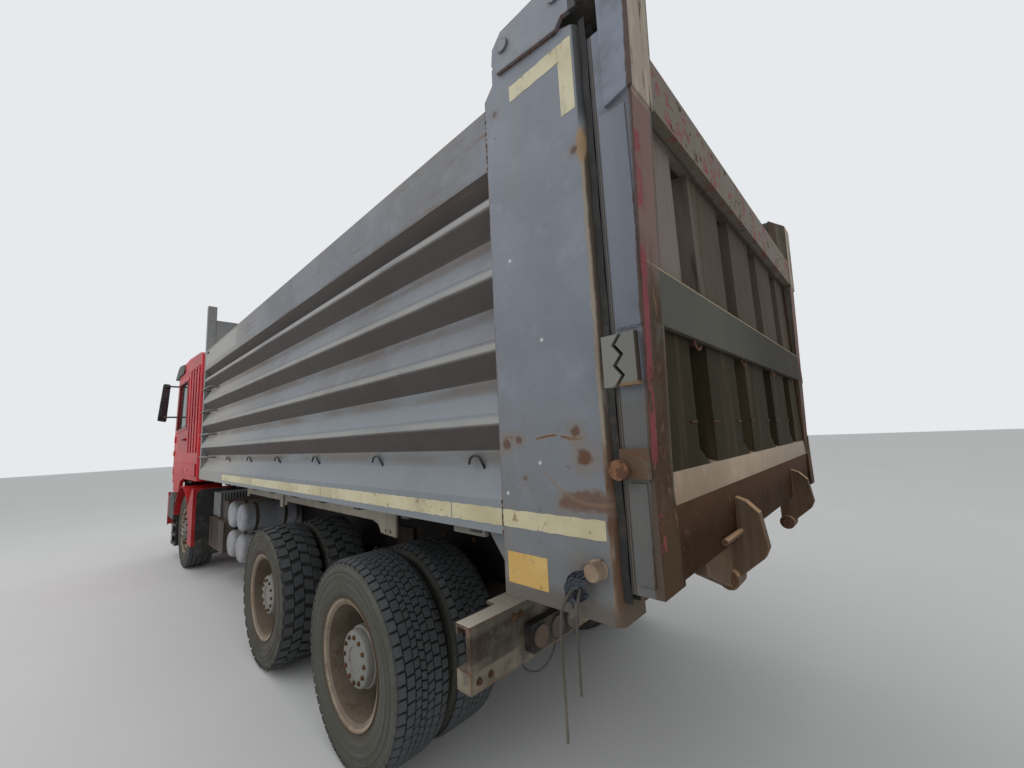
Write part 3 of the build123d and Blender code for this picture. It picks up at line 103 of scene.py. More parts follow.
class Graph:
    """A material that is built up in layers. Coordinates are the object's own, so they move with it."""

    def __init__(self, name, colour, rough=0.6):
        self.material = bpy.data.materials.new(name)
        self.material.use_nodes = True
        self.tree = self.material.node_tree
        self.shader = self.tree.nodes["Principled BSDF"]
        self.coords = self.new("TexCoord").outputs["Object"]
        self.normal = self.new("NewGeometry").outputs["Normal"]
        self.x, self.y, self.z = self.split(self.coords)
        self.sideways, _, self.up = self.split(self.normal)
        self.colour = colour
        self.rough = rough
        self.height = 0

    def new(self, kind, **settings):
        node = self.tree.nodes.new("ShaderNode" + kind)
        for key, value in settings.items():
            setattr(node, key, value)
        return node

    def put(self, value, socket):
        """Links a socket, or sets a plain value."""
        if isinstance(value, bpy.types.NodeSocket):
            self.tree.links.new(value, socket)
        else:
            socket.default_value = value

    def split(self, vector):
        node = self.new("SeparateXYZ")
        self.put(vector, node.inputs[0])
        return node.outputs

    def noise(self, scale, detail=3, rough=0.6, stretch=None):
        tex = self.new("TexNoise")
        vector = self.coords
        if stretch:
            mapping = self.new("Mapping")
            self.put(vector, mapping.inputs["Vector"])
            mapping.inputs["Scale"].default_value = stretch
            vector = mapping.outputs["Vector"]
        self.put(vector, tex.inputs["Vector"])
        tex.inputs["Scale"].default_value = scale
        tex.inputs["Detail"].default_value = detail
        tex.inputs["Roughness"].default_value = rough
        return tex.outputs["Fac"]

    def ribs(self, scale):
        """Fine upright ribs, as moulded in a lamp's lens."""
        wave = self.new("TexWave", wave_type="BANDS", bands_direction="X")
        self.put(self.coords, wave.inputs["Vector"])
        wave.inputs["Scale"].default_value = scale
        return wave.outputs["Fac"]

    def math(self, operation, a, b=0):
        node = self.new("Math", operation=operation)
        self.put(a, node.inputs[0])
        self.put(b, node.inputs[1])
        return node.outputs[0]

    def times(self, first, *others):
        for other in others:
            first = self.math("MULTIPLY", first, other)
        return first

    def most(self, first, *others):
        for other in others:
            first = self.math("MAXIMUM", first, other)
        return first

    def plus(self, a, b):
        return self.math("ADD", a, b)

    def minus(self, a, b):
        return self.math("SUBTRACT", a, b)

    def step(self, value, low, high):
        """0 below low, 1 above high and smooth between; low above high turns it round."""
        node = self.new("MapRange", interpolation_type="SMOOTHSTEP")
        self.put(value, node.inputs["Value"])
        flip = low > high
        node.inputs["From Min"].default_value = min(low, high)
        node.inputs["From Max"].default_value = max(low, high)
        node.inputs["To Min"].default_value = 1 if flip else 0
        node.inputs["To Max"].default_value = 0 if flip else 1
        return node.outputs["Result"]

    def patches(self, low, high, *noise, **stretch):
        """Torn patches: a step of a noise, whose scale, detail and roughness follow the step's limits."""
        return self.step(self.noise(*noise, **stretch), low, high)

    def near(self, value, centre, reach, soft=0.4):
        """1 where the value is within reach of a centre, with a soft edge."""
        away = self.math("ABSOLUTE", self.minus(value, centre))
        return self.step(away, reach, reach * (1 - soft))

    def far(self, u, v, at, weight=(1, 1)):
        """Distance from a point in the plane of two coordinates."""
        du = self.times(self.minus(u, at[0]), weight[0])
        dv = self.times(self.minus(v, at[1]), weight[1])
        return self.math("SQRT", self.plus(self.times(du, du), self.times(dv, dv)))

    def ragged(self, value, amount, scale=14):
        """A distance with a torn edge."""
        return self.plus(value, self.times(self.minus(self.noise(scale, 4, 0.7), 0.5), amount))

    def wear(self, radius):
        """1 along sharp edges, from the difference that rounding them would make."""
        bevel = self.new("Bevel", samples=3)
        bevel.inputs["Radius"].default_value = radius
        dot = self.new("VectorMath", operation="DOT_PRODUCT")
        self.put(bevel.outputs["Normal"], dot.inputs[0])
        self.put(self.normal, dot.inputs[1])
        return self.step(dot.outputs["Value"], 0.995, 0.93)

    def facing_in(self):
        """1 where the surface faces the middle plane of the vehicle."""
        return self.step(self.times(self.sideways, self.x), -0.1, -0.4)

    def blend(self, kind, mask, under, over):
        node = self.new("Mix", data_type=kind)
        self.put(mask, node.inputs["Factor"])
        self.put(shade(under), node.inputs["A"])
        self.put(shade(over), node.inputs["B"])
        return node.outputs["Result"]

    def layer(self, mask, colour, rough=None, share=1, height=0):
        """Lays a colour over what is there, where the mask, or the product of several, is 1."""
        if isinstance(mask, tuple):
            mask = self.times(*mask)
        if share != 1:
            mask = self.times(mask, share)
        self.colour = self.blend("RGBA", mask, self.colour, colour)
        if rough is not None:
            self.rough = self.blend("FLOAT", mask, self.rough, rough)
        if height:
            self.height = self.plus(self.height, self.times(mask, height))

    def rust_browns(self):
        return self.blend("RGBA", self.patches(0.38, 0.62, 21, 4, 0.7), RUST_DARK, RUST_BRIGHT)

    def done(self, grain=40, strength=0.25, distance=0.003, metallic=0, specular=0.5):
        """Adds the fine grain to the bump, and ties everything to the shader."""
        fine = self.noise(grain, 3, 0.6)
        bump = self.new("Bump")
        self.put(self.plus(self.height, fine), bump.inputs["Height"])
        bump.inputs["Strength"].default_value = strength
        bump.inputs["Distance"].default_value = distance
        sockets = self.shader.inputs
        self.put(bump.outputs["Normal"], sockets["Normal"])
        self.put(shade(self.colour), sockets["Base Color"])
        self.put(self.plus(self.rough, self.times(self.minus(fine, 0.5), 0.16)), sockets["Roughness"])
        sockets["Metallic"].default_value = metallic
        sockets["Specular IOR Level"].default_value = specular
        return self.material


# Materials
def old_paint(name, base, pale, dark, rust=0.4, dust=0.5, splash=(1.3, 0.3), runs=0.4, gloss=0.5, wear=0.8,
              edge=0.006):
    """Weathered paint: clouds, runs, dust on ledges, road splash low down, rust at edges and in specks."""
    g = Graph(name, base, gloss)
    cloud = g.noise(1.4, 4, 0.62)
    middle = g.noise(8, 5, 0.68)
    streak = g.noise(9, 4, 0.6, stretch=(1, 1, 0.07))
    g.layer(g.step(cloud, 0.6, 0.36), dark, share=0.8)
    g.layer(g.step(middle, 0.5, 0.7), pale, share=0.4)
    g.layer(g.step(streak, 0.5, 0.7), DUST, 0.85, runs)
    g.layer(g.step(streak, 0.46, 0.3), dark, share=runs)
    ledges = g.times(g.step(g.up, 0.25, 0.85), 0.8)
    low = g.times(g.step(g.z, *splash), g.step(middle, 0.28, 0.62))
    g.layer(g.most(ledges, low), DUST, 0.9, dust)
    g.layer((g.patches(0.62, 0.68, 34, 5, 0.72), g.step(cloud, 0.46, 0.62)), RUST_DARK, 0.85, rust, -0.5)
    if wear:
        g.layer((g.wear(edge), g.step(middle, 0.36, 0.58)), g.rust_browns(), 0.8, wear, -0.3)
    return g


def body_paint():
    """Bed sides: dust lies at the foot of each recess, the ridges' edges are rubbed pale under a painted
    highlight, and painted shade lies under the ridges and the top rail.
    """
    g = old_paint("body_paint", (110, 115, 123), (126, 130, 135), (92, 93, 96), rust=0.35, dust=0.22,
                  splash=(1.9, 1.2), runs=0.22)
    y, z = g.y, g.z
    # painted shade on the down-facing faces of the ridges, brown with splashed dirt; upright faces are paler
    # low down and forward
    g.layer(g.step(g.up, -0.12, -0.42), (64, 53, 46), 0.85, 0.82)
    patchy = g.noise(5, 4, 0.65, stretch=(1, 0.25, 1))
    upright = g.step(g.up, -0.12, 0)
    g.layer((upright, g.step(z, 1.95, 1.75)), (128, 136, 142), 0.6, 0.6)
    g.layer((upright, g.step(y, 1.2, -0.8)), (156, 151, 144), 0.6, 0.7)
    # each ridge: dust at the foot of its recess, and a pale line on its outer edge, rubbed paint with a
    # painted highlight
    for ridge in RIDGES:
        g.layer((g.near(z, ridge - 0.12, 0.045, 0.8), g.step(patchy, 0.3, 0.6)), (104, 90, 74), 0.9, 0.55)
        g.layer((g.near(z, ridge + 0.01, 0.022, 0.7), g.step(patchy, 0.25, 0.55)), (156, 155, 150), 0.6, 0.8)
    # painted shadow in the band under the top rail, and long scratches in the top rail
    g.layer((g.near(z, 2.59, 0.03, 0.8), g.step(patchy, 0.4, 0.6)), (84, 74, 64), 0.8, 0.5)
    scratch = g.patches(0.6, 0.64, 3, 5, 0.75, stretch=(1, 0.35, 9))
    g.layer((scratch, g.step(z, 2.55, 2.62)), (112, 92, 74), 0.75, 0.7)
    g.layer(g.near(z, 2.845, 0.012), (126, 112, 98), 0.7, 0.6)
    # inside, the paint is scoured to brown steel by the loads
    scoured = g.patches(0.34, 0.58, 3, 5, 0.68, stretch=(1, 1, 0.4))
    g.layer((g.facing_in(), scoured), (98, 82, 66), 0.7, 0.8)
    # the pale band at the front of the left side's top rail
    band = (g.near(z, 2.735, 0.088, 0.05), g.step(y, -0.05, -0.06), g.step(g.x, 1.24, 1.245))
    g.layer(band, (168, 168, 160), 0.5, 0.45)
    return g.done(26, 0.22, 0.004)


def inner_floor():
    """The bed's floor: scoured steel under dried mud on top, grey paint, and painted shade that turns its
    down-facing faces near black.
    """
    g = old_paint("floor_steel", (66, 62, 58), (90, 84, 76), (48, 44, 40), rust=0.8, dust=0.3, wear=0)
    top = g.step(g.z, 1.302, 1.306)
    # painted shade: down-facing faces near black
    g.layer(g.step(g.up, -0.3, -0.8), (20, 18, 17), 0.9)
    g.layer((top, g.patches(0.34, 0.6, 2.4, 5, 0.66)), (96, 78, 60), 0.75, 0.85)
    g.layer((top, g.patches(0.54, 0.66, 11, 4, 0.7, stretch=(1, 0.12, 1))), (132, 124, 114), 0.4)
    g.layer((top, g.patches(0.56, 0.66, 5, 5, 0.7)), MUD, 0.95, height=0.8)
    return g.done(30, 0.35, 0.004, specular=0.25)


# Rust spots on the rear posts: (y, z), radius and strength
POST_SPOTS = (((3.645, 1.58), 0.022, 0.9), ((3.7, 1.592), 0.018, 0.8), ((3.925, 1.612), 0.022, 0.9),
              ((3.95, 1.536), 0.031, 1), ((3.86, 1.4), 0.016, 0.7), ((3.72, 1.47), 0.012, 0.6),
              ((3.93, 1.22), 0.03, 0.6), ((3.99, 2.47), 0.016, 0.8), ((3.66, 2.8), 0.014, 0.6))
POST_CHIPS = ((3.785, 1.52), (3.64, 1.42), (3.82, 1.905), (3.7, 2.21))


def post_paint():
    """Rear corner posts: blue-grey, with the rust marks that the photographed one has."""
    g = old_paint("post_paint", (114, 121, 131), (133, 138, 147), (100, 106, 116), rust=0.4, dust=0.3,
                  splash=(1.7, 1), runs=0.12, gloss=0.48, wear=0.9, edge=0.012)
    y, z = g.y, g.z
    # lower part: greyer and dusty; rear edge: rubbed to tan
    g.layer((g.step(z, 2.1, 1.2), g.patches(0.3, 0.6, 3, 4)), (102, 100, 94), 0.8, 0.5)
    rear = g.step(g.ragged(y, 0.022, 12), 4.006, 4.012)
    long_noise = g.noise(5, 4, 0.7, stretch=(1, 1, 0.3))
    worn = g.times(rear, g.step(z, 2.56, 2.48), g.step(long_noise, 0.26, 0.4))
    g.layer(worn, (150, 136, 116), 0.8, 0.85, -0.3)
    g.layer((worn, g.step(g.ragged(y, 0.01, 22), 4.017, 4.023)), (62, 50, 40), 0.85, 0.9)
    g.layer((worn, g.step(z, 1.95, 1.7), g.step(long_noise, 0.4, 0.55)), (92, 66, 48), 0.85)
    # painted shade: dark grey on the post's rear face above its rubbed edge
    g.layer((g.step(y, 4.01, 4.016), g.step(z, 2.52, 2.6)), (46, 45, 45), 0.7, 0.9)
    tan_spot = g.ragged(g.far(y, z, (4.014, 2.475), (1, 0.3)), 0.012, 30)
    g.layer(g.step(tan_spot, 0.02, 0.012), (150, 124, 92), 0.8)
    # the long rust line and its halo, then the spots, the broad rust patch and the curved scrape
    line_z = g.plus(z, g.times(g.math("SINE", g.times(y, 34)), 0.006))
    torn_line = g.times(g.near(y, 3.79, 0.17, 0.2), g.patches(0.42, 0.5, 13, 3))
    g.layer((g.near(g.ragged(line_z, 0.016, 22), 1.596, 0.011, 0.7), torn_line), (140, 126, 104), 0.8, 0.6)
    g.layer((g.near(g.ragged(line_z, 0.012, 22), 1.596, 0.0045), torn_line), (98, 68, 47), 0.85, 0.9, -0.4)
    for at, radius, strength in POST_SPOTS:
        away = g.ragged(g.far(y, z, at), radius * 1.3, 30)
        g.layer(g.step(away, radius * 2.6, radius), (122, 106, 90), 0.8, strength * 0.45)
        g.layer(g.step(away, radius, radius * 0.5), (92, 64, 47), 0.85, strength, -0.5)
    area = g.ragged(g.far(y, z, (3.955, 1.408), (0.75, 2.2)), 0.16, 12)
    g.layer(g.step(area, 0.11, 0.05), (122, 112, 98), 0.8, 0.6)
    g.layer(g.step(area, 0.085, 0.045), (96, 68, 54), 0.85, 0.8, -0.3)
    sweep = g.near(g.ragged(g.far(y, z, (3.98, 1.62)), 0.014, 12), 0.215, 0.007)
    g.layer((sweep, g.step(z, 1.54, 1.46)), (128, 104, 80), 0.8, 0.45)
    for at in POST_CHIPS:
        g.layer(g.step(g.far(y, z, at), 0.008, 0.004), WHITE, share=0.8)
    g.layer(g.step(g.ragged(z, 0.05, 8), 1.175, 1.12), (92, 82, 70), 0.9, 0.75)
    # the post's half of the toothed guide
    guide = g.times(g.step(y, 4.0425, 4.0445), g.near(z, GUIDE_Z, 0.075, 0.02))
    g.layer(guide, (118, 118, 112), 0.6)
    g.layer((guide, g.patches(0.54, 0.64, 30, 4, 0.7)), RUST_PALE, 0.8, 0.7)
    return g.done(24, 0.25, 0.004)


def gate_panel(g, wide):
    """The sheet between the posts: dark olive that holds painted shade, with brown runs, browner in its
    upper half, and a painted light on its upper left.
    """
    panel = g.times(g.step(wide, 1.125, 1.115), g.step(g.y, BEAM_FACE, 4.142))
    runs = g.noise(7, 4, 0.66, stretch=(1, 1, 0.1))
    # painted shade: the sheet's olive is darkened for the shade on the gate's rear
    g.layer(panel, (44, 38, 21), 0.85, 0.95)
    upper = g.times(panel, g.step(g.z, 2.02, 2.12))
    g.layer(upper, (94, 82, 74), 0.85, 0.75)
    # painted light on the upper left of the sheet
    g.layer((upper, g.step(g.x, 0.5, 0.95)), (132, 122, 115), 0.85, 0.8)
    g.layer((panel, g.step(runs, 0.5, 0.64)), (74, 62, 46), 0.85, 0.6)
    g.layer((panel, g.step(runs, 0.42, 0.34)), (34, 31, 26), 0.85, 0.6)


def gate_beams(g, wide, middle):
    """Beams: the upper ones pale with a bright edge, the bottom one brown with rust chips."""
    z = g.z
    level = g.most(g.near(z, TOP_BEAM_Z, BEAM_HALF, 0.05), g.near(z, MID_BEAM_Z, 0.086, 0.05))
    beams = g.times(level, g.step(g.y, BEAM_FACE, 4.158))
    mid_beam = g.times(beams, g.step(z, 2.2, 2.1))
    top_beam = g.times(beams, g.step(z, 2.2, 2.3))
    g.layer(mid_beam, (83, 84, 75), 0.75, 0.85)
    g.layer((mid_beam, g.step(g.x, 0.8, -0.4)), (48, 43, 35), 0.8, 0.75)
    g.layer(top_beam, (126, 118, 106), 0.7, 0.8)
    g.layer((beams, g.near(g.ragged(z, 0.004, 30), 2.0605, 0.004)), (168, 154, 128), 0.8, 0.8)
    g.layer((g.near(z, 1.452, 0.062, 0.2), g.step(g.up, 0.15, 0.5)), (170, 150, 126), 0.9, 0.9)
    bottom = g.times(g.step(z, 1.405, 1.39), g.step(g.y, 4.126, 4.131), g.step(wide, 1.26, 1.255))
    g.layer(bottom, (50, 31, 12), 0.85, 0.95)
    g.layer((bottom, g.step(z, 1.27, 1.38)), (92, 64, 44), 0.85, 0.55)
    g.layer((bottom, g.step(middle, 0.46, 0.66)), (66, 48, 32), 0.85, 0.6)
    g.layer((bottom, g.patches(0.64, 0.7, 17, 4, 0.7)), (112, 86, 66), 0.8, 0.6)
    g.layer((bottom, g.patches(0.68, 0.71, 23, 4, 0.7)), PINK, 0.8, 0.5)
    return top_beam


def gate_posts(g, wide, top_beam):
    """Posts and the top beam: rusted rear faces, with the remains of a pink coat down their outer edges."""
    z = g.z
    post = g.times(g.step(wide, 1.128, 1.136), g.step(g.y, 4.118, 4.132))
    flake = g.noise(9, 5, 0.72, stretch=(1, 1, 0.35))
    g.layer((post, g.step(z, 2.2, 1.5)), (82, 64, 47), 0.85, 0.8)
    g.layer((post, g.step(flake, 0.46, 0.6)), (70, 52, 38), 0.85, 0.85, -0.4)
    g.layer((post, g.step(flake, 0.6, 0.66)), (122, 100, 78), 0.8, 0.7, -0.3)
    g.layer((post, g.step(z, 1.9, 2.2)), (138, 108, 101), 0.8, 0.7)
    outer = g.times(post, g.near(g.ragged(wide, 0.022, 16), 1.23, 0.02, 0.2))
    torn = g.patches(0.44, 0.48, 24, 5, 0.75, stretch=(1, 1, 0.4))
    for low, high in ((1.5, 2.12), (2.18, 2.44), (1.3, 1.4)):
        g.layer((outer, torn, g.near(z, (low + high) / 2, (high - low) / 2, 0.15)), PINK, 0.7, 0.9)
    corner = g.near(g.ragged(wide, 0.012, 24), 1.253, 0.008, 0.4)
    g.layer((post, corner), (70, 46, 32), 0.85, 0.9, -0.4)
    g.layer((top_beam, g.patches(0.54, 0.58, 13, 5, 0.72)), PINK, 0.7, 0.75)
    g.layer((top_beam, g.patches(0.6, 0.63, 19, 5, 0.75)), RUST_DARK, 0.8)
    # arms: their rear faces flake like old wood
    arm = g.times(g.step(z, ARM_FOOT_Z, 2.56), g.step(wide, 1.112, 1.125), g.step(g.y, BEAM_FACE, 4.158))
    wood = g.noise(20, 5, 0.7, stretch=(1, 1, 0.12))
    g.layer(arm, (168, 157, 141), 0.85, 0.9)
    g.layer((arm, g.step(wood, 0.46, 0.38)), (184, 176, 162), 0.85, 0.8, 0.3)
    g.layer((arm, g.step(wood, 0.54, 0.6)), (76, 62, 48), 0.85, 0.9, -0.6)


def gate_sides(g, wide):
    """Outer sides: blue-grey plates, with painted shade in the channel before them, a painted highlight line
    in that channel, and rusty rear edges.
    """
    y, z = g.y, g.z
    side = g.step(wide, 1.2495, 1.2502)
    g.layer(side, (118, 124, 134), 0.55, 0.9)
    g.layer((side, g.step(z, ARM_FOOT_Z, 2.56)), (129, 136, 149), 0.55, 0.9)
    g.layer((side, g.step(z, 1.72, 1.66)), (96, 94, 87), 0.7, 0.85)
    g.layer((side, g.patches(0.5, 0.7, 4, 5, 0.7)), (100, 102, 104), 0.7, 0.6)
    # painted shade in the channel between post and gate, and a thin painted highlight in it
    below = g.times(side, g.step(wide, 1.2603, 1.26))
    g.layer((below, g.step(y, 4.0785, 4.077)), (48, 45, 42), 0.8, 0.95)
    g.layer((below, g.near(y, 4.0725, 0.0016, 0.3)), (118, 106, 90), 0.8, 0.8)
    leaning = g.plus(y, g.times(z, -GATE_LEAN))
    g.layer((side, g.step(g.ragged(leaning, 0.014, 16), 4.078, 4.083)), (82, 60, 44), 0.85, 0.85, -0.3)


def gate_lock(g, wide, middle):
    """The toothed guide, with its pale block, painted shade in its gap and worn corners, and the lock's pin
    and plate.
    """
    y, z = g.y, g.z
    # painted shade: near black in the gap of the toothed guide
    between = (g.near(y, 4.088, 0.026, 0.05), g.near(z, GUIDE_Z, 0.068, 0.02))
    g.layer((*between, g.near(wide, HALF_WIDTH, 0.0012, 0.1)), (16, 15, 14), 0.9)
    block = g.times(g.step(wide, 1.2565, 1.2575), g.near(z, GUIDE_Z, 0.075, 0.02))
    g.layer(block, (116, 116, 110), 0.6)
    g.layer((block, g.step(y, 4.139, 4.1425)), (58, 52, 44), 0.85)
    g.layer((block, g.step(g.ragged(z, 0.02, 20), 1.735, 1.725)), (124, 100, 76), 0.85)
    pin = g.times(g.step(g.far(y, z, (4.074, 1.507)), 0.031, 0.028), g.step(wide, 1.2665, 1.2675))
    boss = g.times(g.near(z, 1.521, 0.04, 0.02), g.near(y, 4.107, 0.041, 0.02), g.step(wide, 1.2515, 1.2525))
    g.layer(boss, (104, 98, 90), 0.8)
    g.layer((boss, g.step(middle, 0.42, 0.56)), (96, 70, 50), 0.85, 0.8, -0.3)
    g.layer(pin, (128, 92, 70), 0.85)
    g.layer((pin, g.patches(0.46, 0.6, 40, 3, 0.7)), (92, 66, 52), 0.85, height=-0.3)


def gate_paint():
    """Tailgate: old brown-grey paint over pink primer, chipped to rust on its posts, beams and ledge."""
    g = old_paint("gate_paint", (96, 94, 88), (114, 111, 103), (70, 65, 56), rust=0.9, dust=0.25,
                  splash=(1.62, 1.15), runs=0.4, gloss=0.6, wear=0.9, edge=0.014)
    wide = g.math("ABSOLUTE", g.x)
    middle = g.noise(6, 5, 0.7)
    gate_panel(g, wide)
    top_beam = gate_beams(g, wide, middle)
    gate_posts(g, wide, top_beam)
    gate_sides(g, wide)
    gate_lock(g, wide, middle)
    return g.done(28, 0.35, 0.005, specular=0.13)


def cast_metal(name, base, grime, rust=0.4, scale=1):
    """Rough cast or forged steel under oily grime and road dust."""
    g = Graph(name, base, 0.72)
    g.layer(g.patches(0.36, 0.66, 4 * scale, 4, 0.65), grime)
    g.layer(g.patches(0.52, 0.68, 15 * scale, 4, 0.7), RUST_DARK, 0.85, rust)
    g.layer(g.step(g.up, 0.2, 0.9), MUD, 0.95, 0.45)
    return g.done(55 * scale, 0.35, 0.004, specular=0.2)


def plastic(name, base, dust=0.35, rough=0.5):
    """Moulded plastic with a fine grain and dust on its upper faces."""
    g = Graph(name, base, rough)
    g.layer(g.step(g.up, 0.1, 0.9), DUST, 0.85, dust)
    g.layer(g.patches(0.45, 0.75, 6, 5, 0.7), DUST, 0.8, dust * 0.7)
    return g.done(180, 0.12, 0.001)


def tyre_rubber(name, axle_y, dust, amount):
    """Tyre rubber: dusty grey sides with pale rings, and a dark tread with dust in its grooves."""
    g = Graph(name, (76, 79, 81), 0.85)
    radius = g.far(g.y, g.z, (axle_y, TYRE_R))
    cloud = g.noise(5, 5, 0.66)
    side = g.step(radius, 0.482, 0.47)
    g.layer(side, (112, 112, 103), 0.9, 0.9)
    g.layer((side, g.step(cloud, 0.34, 0.66)), dust, 0.95, amount)
    for ring, half in ((0.458, 0.012), (0.425, 0.004), (0.385, 0.006), (0.345, 0.004)):
        g.layer((g.near(radius, ring, half, 0.5), g.step(cloud, 0.66, 0.4)), (138, 137, 130), 0.9, 0.6)
    g.layer(g.near(g.ragged(radius, 0.004, 20), 0.474, 0.004, 0.6), (150, 150, 144), 0.9, 0.5)
    g.layer(g.near(radius, 0.318, 0.014, 0.6), (104, 92, 76), 0.95, 0.6)
    g.layer(g.step(radius, 0.4905, 0.486), (40, 38, 35), 0.95, 0.6)
    g.layer(g.patches(0.5, 0.75, 42, 4, 0.7), dust, 0.95, amount * 0.5)
    return g.done(75, 0.25, 0.002, specular=0.3)


def rim_paint(name, axle_y):
    """Tan wheel paint, its tan made paler as painted light in the barrel, rusty at the lip and in its
    corners, with a pale grey hub.
    """
    # the base tan is partly painted light: paler for the light that falls into the barrel
    g = Graph(name, (152, 139, 120), 0.7)
    radius = g.far(g.y, g.z, (axle_y, TYRE_R))
    cloud = g.noise(6, 5, 0.68)
    g.layer(g.step(cloud, 0.58, 0.36), (112, 96, 79), 0.8, 0.7)
    g.layer(g.patches(0.54, 0.64, 19, 4, 0.72), (88, 64, 47), 0.85, 0.6, -0.4)
    g.layer(g.step(g.ragged(radius, 0.02, 16), 0.296, 0.304), (104, 74, 52), 0.85, 0.7)
    g.layer(g.patches(0.5, 0.68, 3, 4), (128, 118, 104), 0.85, 0.5)
    g.layer(g.near(radius, 0.272, 0.019, 0.25), (92, 79, 66), 0.8, 0.65)
    hub = g.step(radius, 0.164, 0.156)
    g.layer(hub, (122, 122, 118), 0.7, 0.95)
    g.layer((hub, g.step(cloud, 0.5, 0.68)), (96, 86, 72), 0.85, 0.5)
    g.layer((g.step(g.wear(0.008), 0.2, 0.9), g.step(cloud, 0.4, 0.6)), RUST_DARK, 0.8, 0.5)
    return g.done(50, 0.3, 0.003)


def glass(name, tint):
    g = Graph(name, tint)
    g.layer(g.patches(0.42, 0.78, 5, 5, 0.7), DUST, share=0.2)
    g.shader.inputs["Transmission Weight"].default_value = 0.8
    g.shader.inputs["IOR"].default_value = 1.1
    g.shader.inputs["Roughness"].default_value = 0.04
    g.put(g.colour, g.shader.inputs["Base Color"])
    return g.material


def lens(name, colour):
    """A ribbed lamp lens with a skin of dust."""
    g = Graph(name, colour, 0.25)
    g.height = g.times(g.ribs(30), 2)
    g.layer(g.patches(0.4, 0.75, 8, 5, 0.7), DUST, 0.6, 0.35)
    return g.done(60, 0.4, 0.002)


def lamp_cluster():
    """Rear lamps: a black housing, and lenses under a thick skin of road dust."""
    g = Graph("lamp_cluster", (40, 39, 38), 0.7)
    g.layer(g.patches(0.38, 0.66, 7, 5, 0.7), (92, 84, 72), 0.9, 0.7)
    front = g.step(g.y, 3.3975, 3.3985)
    wide = g.math("ABSOLUTE", g.x)
    g.layer((front, g.step(wide, 0.66, 0.68)), (118, 24, 22), 0.35)
    g.layer((front, g.step(wide, 0.78, 0.8)), (170, 88, 24), 0.35)
    g.layer((front, g.step(wide, 0.68, 0.66)), (150, 148, 142), 0.4)
    g.height = g.times(front, g.ribs(34), 3)
    g.layer((front, g.patches(0.18, 0.44, 6, 4, 0.7)), (92, 86, 76), 0.85, 0.93)
    return g.done(60, 0.35, 0.002, specular=0.3)


def bare_steel(name, base, grime, metallic=0.85, rough=0.3):
    """A ground or rubbed steel surface with an oily film."""
    g = Graph(name, base, rough)
    g.layer(g.patches(0.4, 0.7, 6, 4, 0.6), grime, rough + 0.15)
    return g.done(90, 0.1, 0.001, metallic=metallic)


def cloth(name, base):
    """Woven cloth, its threads in the bump."""
    g = Graph(name, base, 0.88)
    g.height = g.plus(g.noise(220, 2, stretch=(1, 0.2, 1)), g.noise(220, 2, stretch=(0.2, 1, 1)))
    g.layer(g.patches(0.4, 0.7, 5, 4, 0.6), DUST, share=0.35)
    return g.done(90, 0.3, 0.002, specular=0.2)


def red_paint():
    g = old_paint("red_paint", (188, 30, 38), (192, 48, 54), (146, 22, 30), rust=0.05, dust=0.08,
                  splash=(1.5, 0.5), runs=0.06, gloss=0.38, wear=0.25, edge=0.004)
    return g.done(30, 0.06, 0.002, specular=0.18)


def underrun_paint():
    """The rear guard: a bright top, rubbed and with a painted highlight, mud on its lower edge and an oily
    stain between.
    """
    g = old_paint("underrun_paint", (84, 76, 66), (120, 112, 100), (54, 46, 38), rust=0.9, dust=0.5,
                  splash=(1.1, 0.6), runs=0.3, edge=0.016)
    # painted highlight: near white on the top faces, over rubbed paint
    g.layer((g.step(g.up, 0.4, 0.9), g.step(g.z, 0.89, 0.9)), (216, 205, 188), 0.85, 0.95)
    g.layer((g.step(g.z, 0.745, 0.735), g.patches(0.4, 0.56, 9, 5, 0.7)), (138, 128, 112), 0.85, 0.7)
    g.layer((g.near(g.z, 0.82, 0.06), g.patches(0.4, 0.6, 5, 4, 0.7)), (50, 40, 30), 0.8, 0.75)
    return g.done(30, 0.35, 0.005, specular=0.25)


def ledge_tan():
    """The gate's ledge: pale tan dust, greyer towards the right."""
    g = old_paint("ledge_paint", (168, 146, 122), (186, 168, 146), (140, 118, 96), rust=0.5, dust=0.3,
                  splash=(1.2, 1), runs=0.3)
    g.layer((g.step(g.x, 0.5, -0.6), g.patches(0.3, 0.6, 4, 4, 0.7)), (142, 138, 130), 0.8, 0.7)
    return g.done(30, 0.3, 0.004, specular=0.2)


def claw_rust():
    """The lock claws: rusty brown, with rubbed edges and a painted highlight on their upper faces."""
    g = old_paint("claw_paint", (100, 80, 63), (122, 102, 82), (70, 54, 42), rust=0.9, dust=0.3, runs=0.3,
                  gloss=0.75, edge=0.008)
    g.layer(g.step(g.wear(0.008), 0.35, 0.95), (138, 116, 92), 0.85, 0.6)
    # painted highlight: pale tan on the upward faces
    g.layer(g.step(g.up, 0.25, 0.6), (190, 154, 118), 0.85, 0.8)
    return g.done(30, 0.4, 0.005, specular=0.2)


FIN_PITCH = 0.032


def finned_box():
    """The brown box tank, with grey cooling fins on the front end of its upper part, and painted shade in
    the gaps between the fins.
    """
    g = old_paint("fin_paint", (46, 34, 31), (62, 50, 45), (30, 24, 22), rust=0.5, dust=0.15,
                  splash=(0.6, 0.3))
    finned = g.times(g.step(g.z, 0.785, 0.79), g.step(g.y, -1.565, -1.575))
    g.layer(finned, (142, 144, 144), 0.7, 0.85)
    # painted shade: dark stripes in the gaps between the fins
    fin_gap_shade = g.step(g.math("SINE", g.times(g.x, 2 * pi / FIN_PITCH)), -0.1, 0.3)
    g.layer((finned, fin_gap_shade), (34, 36, 38), 0.8, 0.85)
    return g.done(30, 0.25, specular=0.3)


